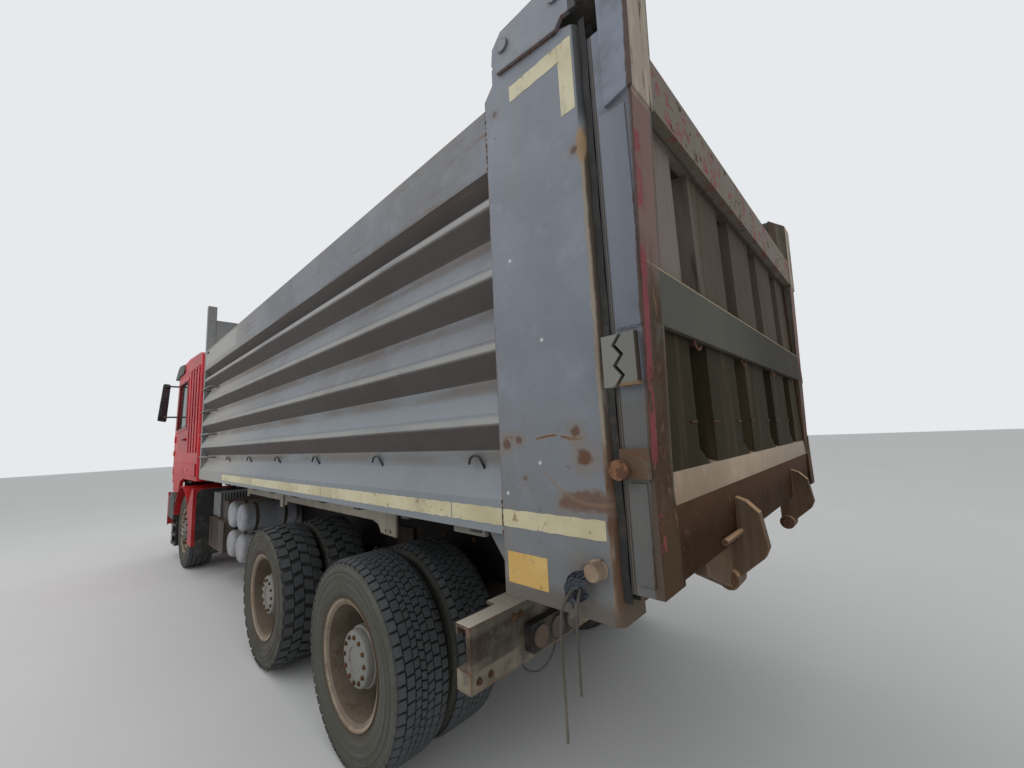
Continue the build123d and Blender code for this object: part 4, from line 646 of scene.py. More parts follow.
def tape_paint():
    """Cream reflective tape, sun-faded and chipped."""
    g = Graph("tape_paint", CREAM, 0.5)
    g.layer(g.patches(0.4, 0.68, 3, 4, 0.65), (176, 166, 130), 0.5, 0.85)
    g.layer(g.patches(0.6, 0.66, 26, 5, 0.72), (126, 96, 66), 0.8, 0.75)
    g.layer(g.patches(0.56, 0.68, 6, 5, 0.7, stretch=(1, 1, 0.3)), DUST, 0.8, 0.6)
    return g.done(120, 0.2, 0.001)


def label_paint():
    """A blank, sun-faded sheet."""
    g = Graph("blank_label", (196, 158, 84), 0.5)
    g.layer(g.patches(0.4, 0.65, 5, 4), (206, 180, 120), 0.6, 0.7)
    g.layer(g.patches(0.6, 0.66, 24, 4, 0.7), (120, 104, 76), 0.8, 0.6)
    return g.done(100, 0.1, 0.001)


def number_plate():
    """A blank pale plate."""
    g = Graph("blank_plate", (196, 196, 190), 0.45)
    g.layer(g.patches(0.42, 0.7, 9, 5, 0.7), DUST, 0.8, 0.6)
    g.layer(g.patches(0.62, 0.68, 40, 4, 0.7), RUST_PALE, 0.8, 0.5)
    return g.done(90, 0.12, 0.001)


def floor_paint():
    g = Graph("floor_paint", (208, 208, 206), 0.9)
    g.layer(g.noise(0.6, 3), (216, 216, 214))
    return g.done(30, 0.05, 0.001, specular=0.1)


cab_red = red_paint()
gate_grey = gate_paint()
axle_iron = cast_metal("axle_iron", (34, 31, 29), (56, 49, 42))
rusty_bolt = cast_metal("rusty_bolt", (104, 74, 52), (70, 50, 38), 0.7, 2)
pin_tan = cast_metal("pin_tan", (162, 145, 127), (132, 110, 90), 0.3, 2)
tank_paint = old_paint("tank_paint", (152, 156, 165), (166, 168, 172), (100, 103, 110), splash=(1.1, 0.4))
fuel_metal = old_paint("fuel_metal", (146, 147, 148), (166, 166, 164), (112, 112, 112), rust=0.05,
                       splash=(0.9, 0.3), wear=0)
brown_paint = old_paint("brown_paint", (44, 38, 36), (72, 65, 60), (36, 31, 29), rust=0.6, dust=0.45,
                        splash=(0.9, 0.3))
head_paint = old_paint("headboard_paint", (128, 130, 132), (146, 146, 144), (104, 104, 104), rust=0.6,
                       dust=0.4, splash=(1.8, 1.2), edge=0.01)
plate_paint = old_paint("plate_paint", (152, 147, 131), (168, 163, 148), (94, 87, 76), rust=0.9, dust=0.5,
                        splash=(1.3, 1.1), edge=0.01)
black_plastic = plastic("black_plastic", (30, 30, 31))
seal_rubber = plastic("seal_rubber", (26, 26, 26), 0.3, 0.75)
amber_lens = lens("amber_lens", (190, 96, 20))
tape = tape_paint()

TYRES = {}
RIMS = {}
for word, y, dust, amount in (("front", FRONT_Y, (92, 86, 76), 0.5), ("mid", MID_Y, (88, 78, 64), 0.6),
                              ("rear", REAR_Y, (108, 105, 93), 0.5)):
    TYRES[word] = tyre_rubber(f"tyre_rubber_{word}", y, dust, amount)
    RIMS[word] = rim_paint(f"rim_paint_{word}", y)

# Finish of the carried-over nodes: by the record's slots, and some nodes have their own
FINISH = {
    "frame_steel": cast_metal("frame_paint", (14, 13, 12), (24, 21, 18), 0.15),
    "axle_steel": axle_iron,
    "engine_iron": cast_metal("engine_iron", (60, 60, 62), (52, 46, 42)),
    "tank_paint": tank_paint.done(30, 0.2),
    "brown_paint": brown_paint.done(30, 0.25),
    "fuel_aluminium": fuel_metal.done(30, 0.12, 0.002, metallic=0.4),
    "underrun_paint": underrun_paint(),
    "lamp_red": lens("red_lens", (140, 22, 20)),
    "lamp_clear": lens("clear_lens", (222, 222, 215)),
    "bumper_red": cab_red,
    "guard_black": black_plastic,
    "cab_red": cab_red,
    "window_glass": glass("window_glass", (120, 132, 132)),
    "seat_cloth": cloth("seat_cloth", (54, 54, 58)),
    "trim_plastic": plastic("trim_plastic", (54, 54, 56)),
    "body_grey": body_paint(),
    "gate_grey": gate_grey,
    "hoist_steel": bare_steel("hoist_steel", (150, 150, 148), (96, 92, 86)),
    "flap_rubber": plastic("flap_rubber", (34, 34, 34), 0.5, 0.8),
}
OWN_FINISH = {
    "bed_posts": post_paint(),
    "bed_floor": inner_floor(),
    "bed_headboard": head_paint.done(28, 0.25),
    "side_plates": plate_paint.done(28, 0.3),
    "rear_lamps": lamp_cluster(),
    "tailgate_claws": claw_rust(),
    "side_tank_left": finned_box(),
}
for word in TYRES:
    for hand, _ in SIDES:
        OWN_FINISH[f"wheel_{word}_{hand}"] = RIMS[word]
        OWN_FINISH[f"tyre_{word}_{hand}"] = TYRES[word]

for part in frame["record"]["subparts"]:
    target = frame["nodes"][part["node"]]
    material = OWN_FINISH.get(part["node"]) or FINISH[part["material_slot"]]
    if not target.material_slots:
        target.data.materials.append(material)
    for slot in target.material_slots:
        slot.material = material


def add(name, data):
    """A new object in the scene."""
    item = bpy.data.objects.new(name, data)
    bpy.context.scene.collection.objects.link(item)
    return item


def piece(name, mesh, body, material, smooth=True):
    """Adds a modelled mesh as a piece that rides on a body."""
    mesh.name = name
    item = add(name, mesh)
    mesh.materials.append(material)
    if smooth:
        mesh.shade_smooth()
        mesh.set_sharp_from_angle(angle=radians(35))
    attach(item, body)
    return item


def made(bm):
    """The mesh of a finished bmesh, its faces turned outwards."""
    mesh = bpy.data.meshes.new("mesh")
    bmesh.ops.recalc_face_normals(bm, faces=bm.faces)
    bm.to_mesh(mesh)
    bm.free()
    return mesh


# Camera at the photograph's place: near the rear left corner, at eye height, wide lens
CAMERA_AT = Vector((2.2297, 4.5995, 1.6046))
CAMERA_YAW = 0.818
CAMERA_PITCH = 0.1305
CAMERA_ROLL = -0.0488
LENS_MM = 14.12
SENSOR_MM = 36
flat = Vector((-sin(CAMERA_YAW), -cos(CAMERA_YAW), 0))
forward = flat * cos(CAMERA_PITCH) + Vector((0, 0, sin(CAMERA_PITCH)))
level_right = forward.cross(Vector((0, 0, 1))).normalized()
level_up = level_right.cross(forward)
right = level_right * cos(CAMERA_ROLL) + level_up * sin(CAMERA_ROLL)
up = level_up * cos(CAMERA_ROLL) - level_right * sin(CAMERA_ROLL)
lens_data = bpy.data.cameras.new("camera")
lens_data.lens = LENS_MM
lens_data.sensor_width = SENSOR_MM
lens_data.clip_start = 0.05
lens_data.clip_end = 200
camera = add("camera", lens_data)
camera.matrix_world = Matrix.Translation(CAMERA_AT) @ Matrix((right, up, -forward)).transposed().to_4x4()
bpy.context.scene.camera = camera

# Pale floor, pale world and soft lamps
FLOOR_HALF = 60
floor_mesh = bmesh.new()
bmesh.ops.create_grid(floor_mesh, x_segments=1, y_segments=1, size=FLOOR_HALF)
floor = add("floor", made(floor_mesh))
floor.data.materials.append(floor_paint())


def pale_world():
    """Even light on the object, and a pale backdrop for the camera, in reflections and behind glass."""
    world = bpy.data.worlds.new("world")
    world.use_nodes = True
    tree = world.node_tree
    light = tree.nodes["Background"]
    light.inputs["Strength"].default_value = 0.66
    light.inputs["Color"].default_value = (0.95, 0.97, 1, 1)
    seen = tree.nodes.new("ShaderNodeBackground")
    seen.inputs["Color"].default_value = (0.8, 0.82, 0.84, 1)
    rays = tree.nodes.new("ShaderNodeLightPath")
    mask = rays.outputs["Is Camera Ray"]
    for kind in ("Is Glossy Ray", "Is Transmission Ray"):
        either = tree.nodes.new("ShaderNodeMath")
        either.operation = "MAXIMUM"
        tree.links.new(mask, either.inputs[0])
        tree.links.new(rays.outputs[kind], either.inputs[1])
        mask = either.outputs[0]
    blend = tree.nodes.new("ShaderNodeMixShader")
    for number, source in enumerate((mask, light.outputs[0], seen.outputs[0])):
        tree.links.new(source, blend.inputs[number])
    tree.links.new(blend.outputs[0], tree.nodes["World Output"].inputs["Surface"])
    return world


def lamp(name, place, target, size, watts):
    """A large soft lamp that points at a target."""
    data = bpy.data.lights.new(name, "AREA")
    data.shape = "RECTANGLE"
    data.size, data.size_y = size
    data.energy = watts
    item = add(name, data)
    item.location = place
    item.rotation_euler = (Vector(target) - Vector(place)).to_track_quat("-Z", "Y").to_euler()


bpy.context.scene.world = pale_world()
lamp("sky_lamp", (4, -1, 9.5), (0, 0, 1), (9, 14), 330)
lamp("side_lamp", (10, 1, 4.5), (0, 0, 1.6), (6, 10), 90)
lamp("rear_lamp", (2, 12, 4), (0, 3, 1.6), (7, 5), 40)


# Helpers for modelled parts
def skin(bm, rows, closed=True):
    """Faces between rows of corners, closed round each row or open at its ends."""
    for low, high in zip(rows, rows[1:]):
        count = len(low)
        for k in range(count if closed else count - 1):
            j = (k + 1) % count
            bm.faces.new((low[k], low[j], high[j], high[k]))


def solid(bm, rows):
    """A skin with both ends closed."""
    skin(bm, rows)
    bm.faces.new(rows[0][::-1])
    bm.faces.new(rows[-1])


def ring(bm, at, u, v, radius, sides, turn=0):
    """Corners of a regular polygon about a point, in the plane of two vectors."""
    angles = [turn + 2 * pi * k / sides for k in range(sides)]
    return [bm.verts.new(at + (u * cos(a) + v * sin(a)) * radius) for a in angles]


def about_axle(y, radius, angle):
    """The y and z of a point on a circle round an axle."""
    return y + radius * sin(angle), TYRE_R + radius * cos(angle)


def smooth_path(points, steps=6):
    """Points on a smooth curve through the given ones."""
    pts = [Vector(p) for p in points]
    ends = [pts[0] * 2 - pts[1], *pts, pts[-1] * 2 - pts[-2]]
    out = []
    for i in range(1, len(ends) - 2):
        p0, p1, p2, p3 = ends[i - 1:i + 3]
        for k in range(steps):
            t = k / steps
            out.append(0.5 * (2 * p1 + (p2 - p0) * t + (2 * p0 - 5 * p1 + 4 * p2 - p3) * t * t
                              + (3 * p1 - p0 - 3 * p2 + p3) * t ** 3))
    out.append(pts[-1])
    return out


def heading(path, i):
    """The direction of a path at one of its points."""
    return (path[min(i + 1, len(path) - 1)] - path[max(i - 1, 0)]).normalized()


def tube(bm, path, radius, sides=8, ripple=0):
    """A round bar along a path, closed at its ends. A ripple makes it a weld bead."""
    normal = heading(path, 0).orthogonal().normalized()
    rings = []
    for i, at in enumerate(path):
        along = heading(path, i)
        normal = (normal - along * normal.dot(along)).normalized()
        r = radius * (1 + ripple * sin(i * 2.1) + ripple * 0.6 * sin(i * 5.3 + 1))
        rings.append(ring(bm, at, normal, along.cross(normal), r, sides))
    solid(bm, rings)


def straight(start, end, pitch):
    """Points on a straight line, about a pitch apart."""
    a, b = Vector(start), Vector(end)
    count = max(2, int((b - a).length / pitch))
    return [a.lerp(b, i / count) for i in range(count + 1)]


def weld(bm, start, end, radius, pitch=0.008):
    """A rippled weld bead."""
    tube(bm, straight(start, end, pitch), radius, 6, 0.3)


def turned(bm, at, axis, profile, sides=20):
    """A solid of revolution about an axis through a point: profile is (distance along the axis, radius)."""
    axis = Vector(axis).normalized()
    u = axis.orthogonal().normalized()
    v = axis.cross(u)
    solid(bm, [ring(bm, Vector(at) + axis * along, u, v, r, sides) for along, r in profile])


def hex_bolt(bm, at, axis, across, tall, stud=0, turn=0):
    """A hexagon head or nut with a chamfered top on a washer, and a stud's end where one shows."""
    at = Vector(at)
    axis = Vector(axis).normalized()
    u = axis.orthogonal().normalized()
    v = axis.cross(u)
    r = across / 3 ** 0.5
    turned(bm, at - axis * 0.001, axis, [(0, r * 1.22), (0.0035, r * 1.22), (0.0042, r * 1.16)], 18)
    head = ((0.003, r), (tall * 0.82, r), (tall, r * 0.86))
    rings = [ring(bm, at + axis * along, u, v, size, 6, turn) for along, size in head]
    skin(bm, rings)
    bm.faces.new(rings[-1])
    if stud:
        end = [(0, r * 0.52), (stud, r * 0.52), (stud + 0.002, r * 0.42)]
        turned(bm, at + axis * (tall * 0.9), axis, end, 12)


def plate(bm, corners, thick):
    """A thin plate: its corners in order, and the vector that thickens it."""
    solid(bm, [[bm.verts.new(Vector(c) + lift) for c in corners] for lift in (Vector(), Vector(thick))])


def rounded_box(bm, low, high, radius=0.004, segments=2):
    """A box with rounded edges."""
    corners = bmesh.ops.create_cube(bm, size=1)["verts"]
    for vert in corners:
        vert.co = [(a + b) / 2 + share * abs(b - a) for a, b, share in zip(low, high, vert.co)]
    edges = list({edge for vert in corners for edge in vert.link_edges})
    bmesh.ops.bevel(bm, geom=edges, offset=radius, segments=segments, affect="EDGES", profile=0.5)


# Tyres: a turned carcass with moulded rings, and tread blocks on it
TREAD_DEPTH = 0.015
TREAD_FLOOR = TYRE_R - TREAD_DEPTH
CARCASS = [(-0.1, 0.286), (-0.124, 0.302), (-0.131, 0.32), (-0.135, 0.335), (-0.1375, 0.34),
           (-0.1385, 0.348), (-0.1415, 0.365), (-0.144, 0.385), (-0.1448, 0.4), (-0.1425, 0.403),
           (-0.1425, 0.408), (-0.1448, 0.411), (-0.1445, 0.428), (-0.1415, 0.431), (-0.1415, 0.436),
           (-0.144, 0.439), (-0.1425, 0.45), (-0.138, 0.462), (-0.133, 0.474), (-0.122, 0.4835),
           (-0.085, TREAD_FLOOR), (0, TREAD_FLOOR)]
CARCASS += [(-x, radius) for x, radius in reversed(CARCASS[:-1])]
TURNS = 96

# Tread rows: inner x, outer x, drop of each, blocks round the tyre, share of the pitch, shift, skew
TREADS = {
    "rear": ((0.098, 0.137, 0.001, 0.011, 58, 0.8, 0, 0.1), (0.054, 0.091, 0, 0.001, 58, 0.84, 0.5, 0.14),
             (0.022, 0.048, 0, 0, 76, 0.8, 0.2, 0.5), (-0.01, 0.016, 0, 0, 76, 0.8, 0.7, -0.5),
             (-0.048, -0.016, 0, 0, 76, 0.8, 0.2, 0.5), (-0.091, -0.054, 0.001, 0, 58, 0.84, 0, -0.14),
             (-0.137, -0.098, 0.011, 0.001, 58, 0.8, 0.5, -0.1)),
    "mid": ((0.07, 0.14, 0.001, 0.012, 34, 0.66, 0, 0.06), (0.004, 0.062, 0, 0, 34, 0.7, 0.5, 0.55),
            (-0.062, -0.004, 0, 0, 34, 0.7, 0, -0.75),
            (-0.14, -0.07, 0.012, 0.001, 34, 0.66, 0.5, -0.9)),
    "front": ((0.094, 0.137, 0.001, 0.009, 90, 0.94, 0, 0), (0.038, 0.084, 0, 0, 90, 0.95, 0.5, 0.25),
              (-0.024, 0.024, 0, 0, 90, 0.95, 0, 0.25), (-0.084, -0.038, 0, 0, 90, 0.95, 0.5, 0.25),
              (-0.137, -0.094, 0.009, 0.001, 90, 0.94, 0, 0)),
}


def tread_block(bm, x, y, side, row, index):
    """A tread block with drawn-in top edges, set in the carcass."""
    x0, x1, drop0, drop1, count, share, shift, skew = row
    angle = 2 * pi * (index + shift) / count
    half = pi / count * share
    middle = (x0 + x1) / 2
    rings = []
    for level, inset in ((-TREAD_DEPTH - 0.004, 0), (-0.0025, 0), (-0.0002, 0.0022)):
        inner, outer = (x0 + inset, drop0), (x1 - inset, drop1)
        corners = []
        for (at, drop), turn in ((inner, -1), (outer, -1), (outer, 1), (inner, 1)):
            a = angle + turn * (half - inset / TYRE_R) + skew * (at - middle)
            corners.append(bm.verts.new((x + side * at, *about_axle(y, TYRE_R - drop + level, a))))
        rings.append(corners)
    skin(bm, rings)
    bm.faces.new(rings[-1])


def add_tyre(bm, x, y, side, rows):
    """One tyre about its axle."""
    rings = []
    for i in range(TURNS):
        a = 2 * pi * i / TURNS
        rings.append([bm.verts.new((x + dx, *about_axle(y, radius, a))) for dx, radius in CARCASS])
    skin(bm, rings + rings[:1])
    for row in rows:
        for index in range(row[4]):
            tread_block(bm, x, y, side, row, index)


AXLES = (("front", FRONT_Y, (FRONT_X,)), ("mid", MID_Y, (DUAL_OUT, DUAL_OUT - DUAL_STEP)),
         ("rear", REAR_Y, (DUAL_OUT, DUAL_OUT - DUAL_STEP)))
for word, y, tyre_x in AXLES:
    for hand, side in SIDES:
        bm = bmesh.new()
        for x in tyre_x:
            add_tyre(bm, side * x, y, side, TREADS[word])
        tyre = piece(f"tread_{word}_{hand}", made(bm), f"wheel_{word}_{hand}", TYRES[word])
        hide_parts(f"tyre_{word}_{hand}")

# Wheel nuts, hub drums with their bolts, and valves. Discs are set out from the middle of their tyres.
NUTS = 10
NUT_CIRCLE = 0.17
NUT_ACROSS = 0.03
FRONT_DISC = FRONT_X + 0.1118
FRONT_HUB = FRONT_X + 0.1548
DUAL_DISC = DUAL_OUT - DUAL_STEP / 2 + 0.0222
HUB_START = 1.035
HUB_END = 1.198
HUB_DRUM = [(0, 0.152), (0.118, 0.15), (0.122, 0.146), (0.124, 0.139), (0.152, 0.137), (0.16, 0.131),
            (0.163, 0.124), (0.163, 0.064), (0.158, 0.06), (0.158, 0.01)]


def nut_ring(bm, side, x, y, count, circle, across, tall, stud=0, shift=0):
    """Nuts or bolts on a circle round an axle."""
    for i in range(count):
        a = 2 * pi * (i + shift) / count
        hex_bolt(bm, (side * x, *about_axle(y, circle, a)), (side, 0, 0), across, tall, stud, a)


for word, y, tyre_x in AXLES:
    dual = len(tyre_x) == 2
    disc = DUAL_DISC if dual else FRONT_DISC
    for hand, side in SIDES:
        bm = bmesh.new()
        nut_ring(bm, side, disc, y, NUTS, NUT_CIRCLE, NUT_ACROSS, 0.024, 0.014, 0.5)
        if dual:
            nut_ring(bm, side, HUB_END, y, 12, 0.108, 0.017, 0.011)
            drum = bmesh.new()
            turned(drum, (side * HUB_START, y, TYRE_R), (side, 0, 0), HUB_DRUM, 40)
            piece(f"hub_drum_{word}_{hand}", made(drum), f"wheel_{word}_{hand}", RIMS[word])
        else:
            nut_ring(bm, side, FRONT_HUB, y, 8, 0.082, 0.017, 0.011)
        valve = [(side * (disc + out), y + back, TYRE_R + rise)
                 for out, back, rise in ((0.004, 0.02, 0.215), (0.02, 0.02, 0.226), (0.055, 0.022, 0.238))]
        tube(bm, smooth_path(valve), 0.0045)
        piece(f"wheel_nuts_{word}_{hand}", made(bm), f"wheel_{word}_{hand}", rusty_bolt)

# Reflective tapes: thin, with ragged ends and worn corners
TAPE_OUT = 0.0008
TAPE_LENGTH = 1.24
TAPE_GAP = 0.006
STRIPE = (1.312, 1.368)
STRIPE_START = -0.4


def tape_strip(bm, side, y0, y1, z0, z1, nicks=0.0015):
    """A strip of tape on a vertical face, its outline slightly worn."""
    count = max(4, int(abs(y1 - y0) / 0.03))
    lower = [(y0 + (y1 - y0) * i / count, z0 + nicks * sin(i * 2.7 + y0 * 9)) for i in range(count + 1)]
    upper = [(y0 + (y1 - y0) * i / count, z1 + nicks * sin(i * 3.9 + z1 * 7)) for i in range(count + 1)]
    x = side * (HALF_WIDTH + 0.0001)
    for i in range(count):
        quad = (lower[i], lower[i + 1], upper[i + 1], upper[i])
        plate(bm, [(x, *corner) for corner in quad], (side * TAPE_OUT, 0, 0))


for hand, side in SIDES:
    bm = bmesh.new()
    y = STRIPE_START
    while y < POST_FRONT - 0.05:
        end = min(y + TAPE_LENGTH, POST_FRONT - 0.004)
        tape_strip(bm, side, y, end, *STRIPE)
        y = end + TAPE_GAP
    piece(f"side_stripe_{hand}", made(bm), "bed", tape, False)
    bm = bmesh.new()
    tape_strip(bm, side, POST_FRONT + 0.004, 4.002, 1.313, 1.367)
    tape_strip(bm, side, 3.738, 3.952, 2.798, 2.858)
    tape_strip(bm, side, 3.953, 4.006, 2.604, 2.858)
    piece(f"post_tapes_{hand}", made(bm), "bed", tape, False)

# A blank sheet where the photographed truck has a label
bm = bmesh.new()
tape_strip(bm, 1, 3.628, 3.792, 1.14, 1.236, 0.0004)
piece("blank_label", made(bm), "bed", label_paint(), False)

# Tarpaulin hooks along the fold of the bottom rail: a black rod, bent over, with its free end down
HOOK_Y = (-0.39, 0.375, 1.143, 1.888, 2.68, 3.434)
HOOK_BEND = ((1.188, 0.03, 1.49), (1.201, 0.03, 1.512), (1.208, 0.02, 1.536), (1.21, -0.004, 1.541),
             (1.212, -0.024, 1.531), (1.215, -0.03, 1.508))
for hand, side in SIDES:
    bm = bmesh.new()
    for y in HOOK_Y:
        tube(bm, smooth_path([(side * x, y + along, z) for x, along, z in HOOK_BEND]), 0.0052)
    piece(f"tarp_hooks_{hand}", made(bm), "bed", black_plastic)

# Small hooks under the gate's middle beam, and wire rings on its post
GATE_HOOK = ((0, 4.15, 1.9), (0, 4.15, 1.882), (-0.012, 4.152, 1.868), (-0.03, 4.154, 1.866),
             (-0.04, 4.155, 1.878))
bm = bmesh.new()
for x in (0.849, 0.279, -0.312, -0.88):
    tube(bm, smooth_path([(x + dx, y, z) for dx, y, z in GATE_HOOK]), 0.0045)
for z in (1.751, 1.548):
    loop = [(1.222 + 0.012 * cos(k * pi / 5), 4.1635 + 0.002 * (k % 2), z + 0.014 * sin(k * pi / 5))
            for k in range(10)]
    tube(bm, smooth_path(loop), 0.0022, 6)
piece("gate_hooks", made(bm), "tailgate", rusty_bolt)

# Rubber seals in the gap between each post and the gate, wavy along their height
SEAL_FOOT = 1.16
SEAL_STEP = 0.029
SEAL_Y = 4.03
for hand, side in SIDES:
    bm = bmesh.new()
    for x, width in ((1.228, 0.022), (1.19, 0.026)):
        for i in range(60):
            here, there = [(side * (x + 0.0025 * sin(j * 0.9 + x * 40)), SEAL_FOOT + j * SEAL_STEP)
                           for j in (i, i + 1)]
            corners = [(here[0], SEAL_Y, here[1]), (here[0], SEAL_Y + width, here[1]),
                       (there[0], SEAL_Y + width, there[1]), (there[0], SEAL_Y, there[1])]
            plate(bm, corners, (side * 0.006, 0, 0))
    bmesh.ops.remove_doubles(bm, verts=bm.verts, dist=0.00005)
    piece(f"post_seal_{hand}", made(bm), "bed", seal_rubber)

# Weld beads: side to post, and the plates at the post's head
bm = bmesh.new()
for hand, side in SIDES:
    x = side * 1.2465
    y = POST_FRONT - 0.001
    weld(bm, (x, y, 2.6), (x, y, 2.84), 0.0045)
    weld(bm, (x, y, 1.285), (x, y, 1.395), 0.0045)
    weld(bm, (side * 1.251, 3.7, 2.941), (side * 1.251, 3.955, 2.906), 0.0045)
piece("bed_welds", made(bm), "bed", rusty_bolt)

# Weld beads at the feet of the gate's ribs, and where its sheet meets the posts
RIB_X = (-1.039, -0.52, 0, 0.52, 1.039)
RIB_HALF = 0.15
POST_INNER = 1.1
bm = bmesh.new()
for rib in RIB_X:
    for x in (rib - RIB_HALF, rib + RIB_HALF):
        if abs(x) < POST_INNER:
            weld(bm, (x - 0.02, 4.136, 1.624), (x + 0.03, 4.136, 1.624), 0.004, 0.007)
for hand, side in SIDES:
    x = side * 1.1195
    weld(bm, (x, 4.142, 1.5), (x, 4.142, 1.89), 0.004)
    weld(bm, (x, 4.148, 2.07), (x, 4.148, 2.52), 0.004)
piece("gate_welds", made(bm), "tailgate", rusty_bolt)

# Locking pin through the foot of the left post, with a small plate at its side
PIN_Y, PIN_Z = 3.973, 1.238
PIN_PROFILE = [(0, 0.027), (0.006, 0.027), (0.007, 0.024), (0.02, 0.0235), (0.044, 0.023), (0.047, 0.02),
               (0.048, 0.01)]
PIN_PLATE = ((3.945, 1.222), (3.925, 1.236), (3.952, 1.262), (3.985, 1.268))
bm = bmesh.new()
turned(bm, (HALF_WIDTH - 0.002, PIN_Y, PIN_Z), (1, 0, 0), PIN_PROFILE, 22)
plate(bm, [(HALF_WIDTH, *corner) for corner in PIN_PLATE], (0.01, 0, 0))
piece("foot_pin", made(bm), "bed", pin_tan)

# Raised plates on the gate's outer sides, with rounded edges and a weld under each
SIDE_PLATE_FRONT = 4.083
for hand, side in SIDES:
    bm = bmesh.new()
    for z0, z1 in ((1.88, 2.515), (1.222, 1.472)):
        rear = 4.0795 + GATE_LEAN * (z0 + z1) / 2
        rounded_box(bm, (side * 1.2495, SIDE_PLATE_FRONT, z0), (side * 1.2555, rear, z1), 0.0022)
        x, z = side * HALF_WIDTH, z0 - 0.002
        weld(bm, (x, SIDE_PLATE_FRONT + 0.004, z), (x, rear - 0.004, z), 0.0035, 0.007)
    piece(f"gate_side_plates_{hand}", made(bm), "tailgate", gate_grey)

# Sloped ledge in front of the feet of the gate's ribs
LEDGE_HALF = 1.1145
LEDGE_SECTION = ((4.068, 1.4), (4.14, 1.3955), (4.1425, 1.401), (4.1385, 1.476), (4.1345, 1.486),
                 (4.068, 1.502))
bm = bmesh.new()
solid(bm, [[bm.verts.new((x, *corner)) for corner in LEDGE_SECTION] for x in (-LEDGE_HALF, LEDGE_HALF)])
piece("gate_ledge", made(bm), "tailgate", ledge_tan())

# A rag knotted round the pin: one gathered strip of cloth, with folds along it
RAG_PATH = [(1.262, 3.962, 1.212), (1.273, 3.944, 1.224), (1.287, 3.922, 1.218), (1.29, 3.904, 1.198),
            (1.28, 3.9, 1.176), (1.27, 3.918, 1.166), (1.276, 3.94, 1.18), (1.293, 3.938, 1.204),
            (1.297, 3.918, 1.206), (1.29, 3.9, 1.186), (1.278, 3.89, 1.16), (1.27, 3.88, 1.132)]
RAG_HALF = 0.025
RAG_GATHERED = RAG_HALF * 0.62
path = smooth_path(RAG_PATH, 8)
bm = bmesh.new()
rows = []
for i, at in enumerate(path):
    along = heading(path, i)
    wide = along.cross(Vector((1, 0, 0))).normalized()
    deep = along.cross(wide)
    row = []
    for k in range(11):
        bend = 1.35 * (k / 5 - 1)
        fold = 0.0028 * sin(k * 2.3 + i * 0.35) + 0.0018 * sin(k * 4.1 - i * 0.6)
        across = wide * (RAG_GATHERED * sin(bend)) + deep * (RAG_GATHERED * (cos(bend) - 0.6) + fold)
        row.append(bm.verts.new(at + across))
    rows.append(row)
skin(bm, rows, closed=False)
area = sum(face.calc_area() for face in bm.faces)
rag = piece("pin_rag", made(bm), "bed", cloth("rag_cloth", (84, 90, 100)))


def free_cord(name, points, diameter, body, material):
    """A cord on one smooth line through its control points."""
    data = bpy.data.curves.new(name, "CURVE")
    data.dimensions = "3D"
    data.resolution_u = 12
    spline = data.splines.new("NURBS")
    spline.points.add(len(points) - 1)
    for point, at in zip(spline.points, points):
        point.co = (*at, 1)
    spline.order_u = 3
    spline.use_endpoint_u = True
    item = add(name, data)
    line = bpy.data.meshes.new_from_object(item)
    data.bevel_depth = diameter / 2
    data.bevel_resolution = 3
    data.use_fill_caps = True
    data.materials.append(material)
    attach(item, body)


# Two straps that hang from the knot
strap_web = cloth("strap_web", (84, 80, 75))
STRAP_LONG = [(1.286, 3.918, 1.196), (1.284, 3.896, 1.176), (1.276, 3.868, 1.14), (1.27, 3.848, 1.104),
              (1.268, 3.842, 1.04), (1.266, 3.84, 0.96), (1.268, 3.843, 0.86), (1.266, 3.842, 0.765)]
STRAP_SHORT = [(1.288, 3.932, 1.192), (1.286, 3.922, 1.166), (1.28, 3.912, 1.13), (1.272, 3.902, 1.096),
               (1.27, 3.9, 1.03), (1.272, 3.902, 0.97), (1.269, 3.899, 0.905)]
free_cord("strap_long", STRAP_LONG, 0.009, "bed", strap_web)
free_cord("strap_short", STRAP_SHORT, 0.008, "bed", strap_web)

# Lamp cable that sags under the rear guard
cable = plastic("cable_skin", (46, 45, 44), 0.5, 0.7)
LAMP_CABLE = [(0.64, 3.33, 0.705), (0.655, 3.33, 0.66), (0.7, 3.332, 0.6), (0.78, 3.334, 0.575),
              (0.87, 3.334, 0.61), (0.905, 3.332, 0.66), (0.91, 3.33, 0.672)]
free_cord("lamp_cable", LAMP_CABLE, 0.008, "chassis", cable)

# Bolts on the frame's rails and the guard's hangers
RAIL_X = 0.4252
GUARD_Y = 3.355
bm = bmesh.new()
for hand, side in SIDES:
    for i in range(23):
        y = -3.7 + 0.31 * i
        for z in (0.775, 0.945):
            hex_bolt(bm, (side * RAIL_X, y, z), (side, 0, 0), 0.022, 0.012, 0.004, y)
    for z in (0.79, 0.85):
        hex_bolt(bm, (side * RAIL_X, 3.3, z), (side, 0, 0), 0.024, 0.014, 0.004)
    for x in (0.66, 0.72, 0.92, 0.96):
        hex_bolt(bm, (side * x, GUARD_Y, 0.865), (0, 1, 0), 0.022, 0.012, 0.004)
    for x in (1.1, 1.16):
        hex_bolt(bm, (side * x, GUARD_Y, 0.706), (0, 1, 0), 0.02, 0.01, 0.003)
piece("frame_bolts", made(bm), "chassis", rusty_bolt)

# Bolts at the pivot of each claw, on both its faces
bm = bmesh.new()
for hand, side in SIDES:
    for x, out in ((0.505, -side), (0.6, side)):
        hex_bolt(bm, (side * x, 4.096, 1.056), (out, 0, 0), 0.04, 0.018)
piece("claw_bolts", made(bm), "tailgate", rusty_bolt)

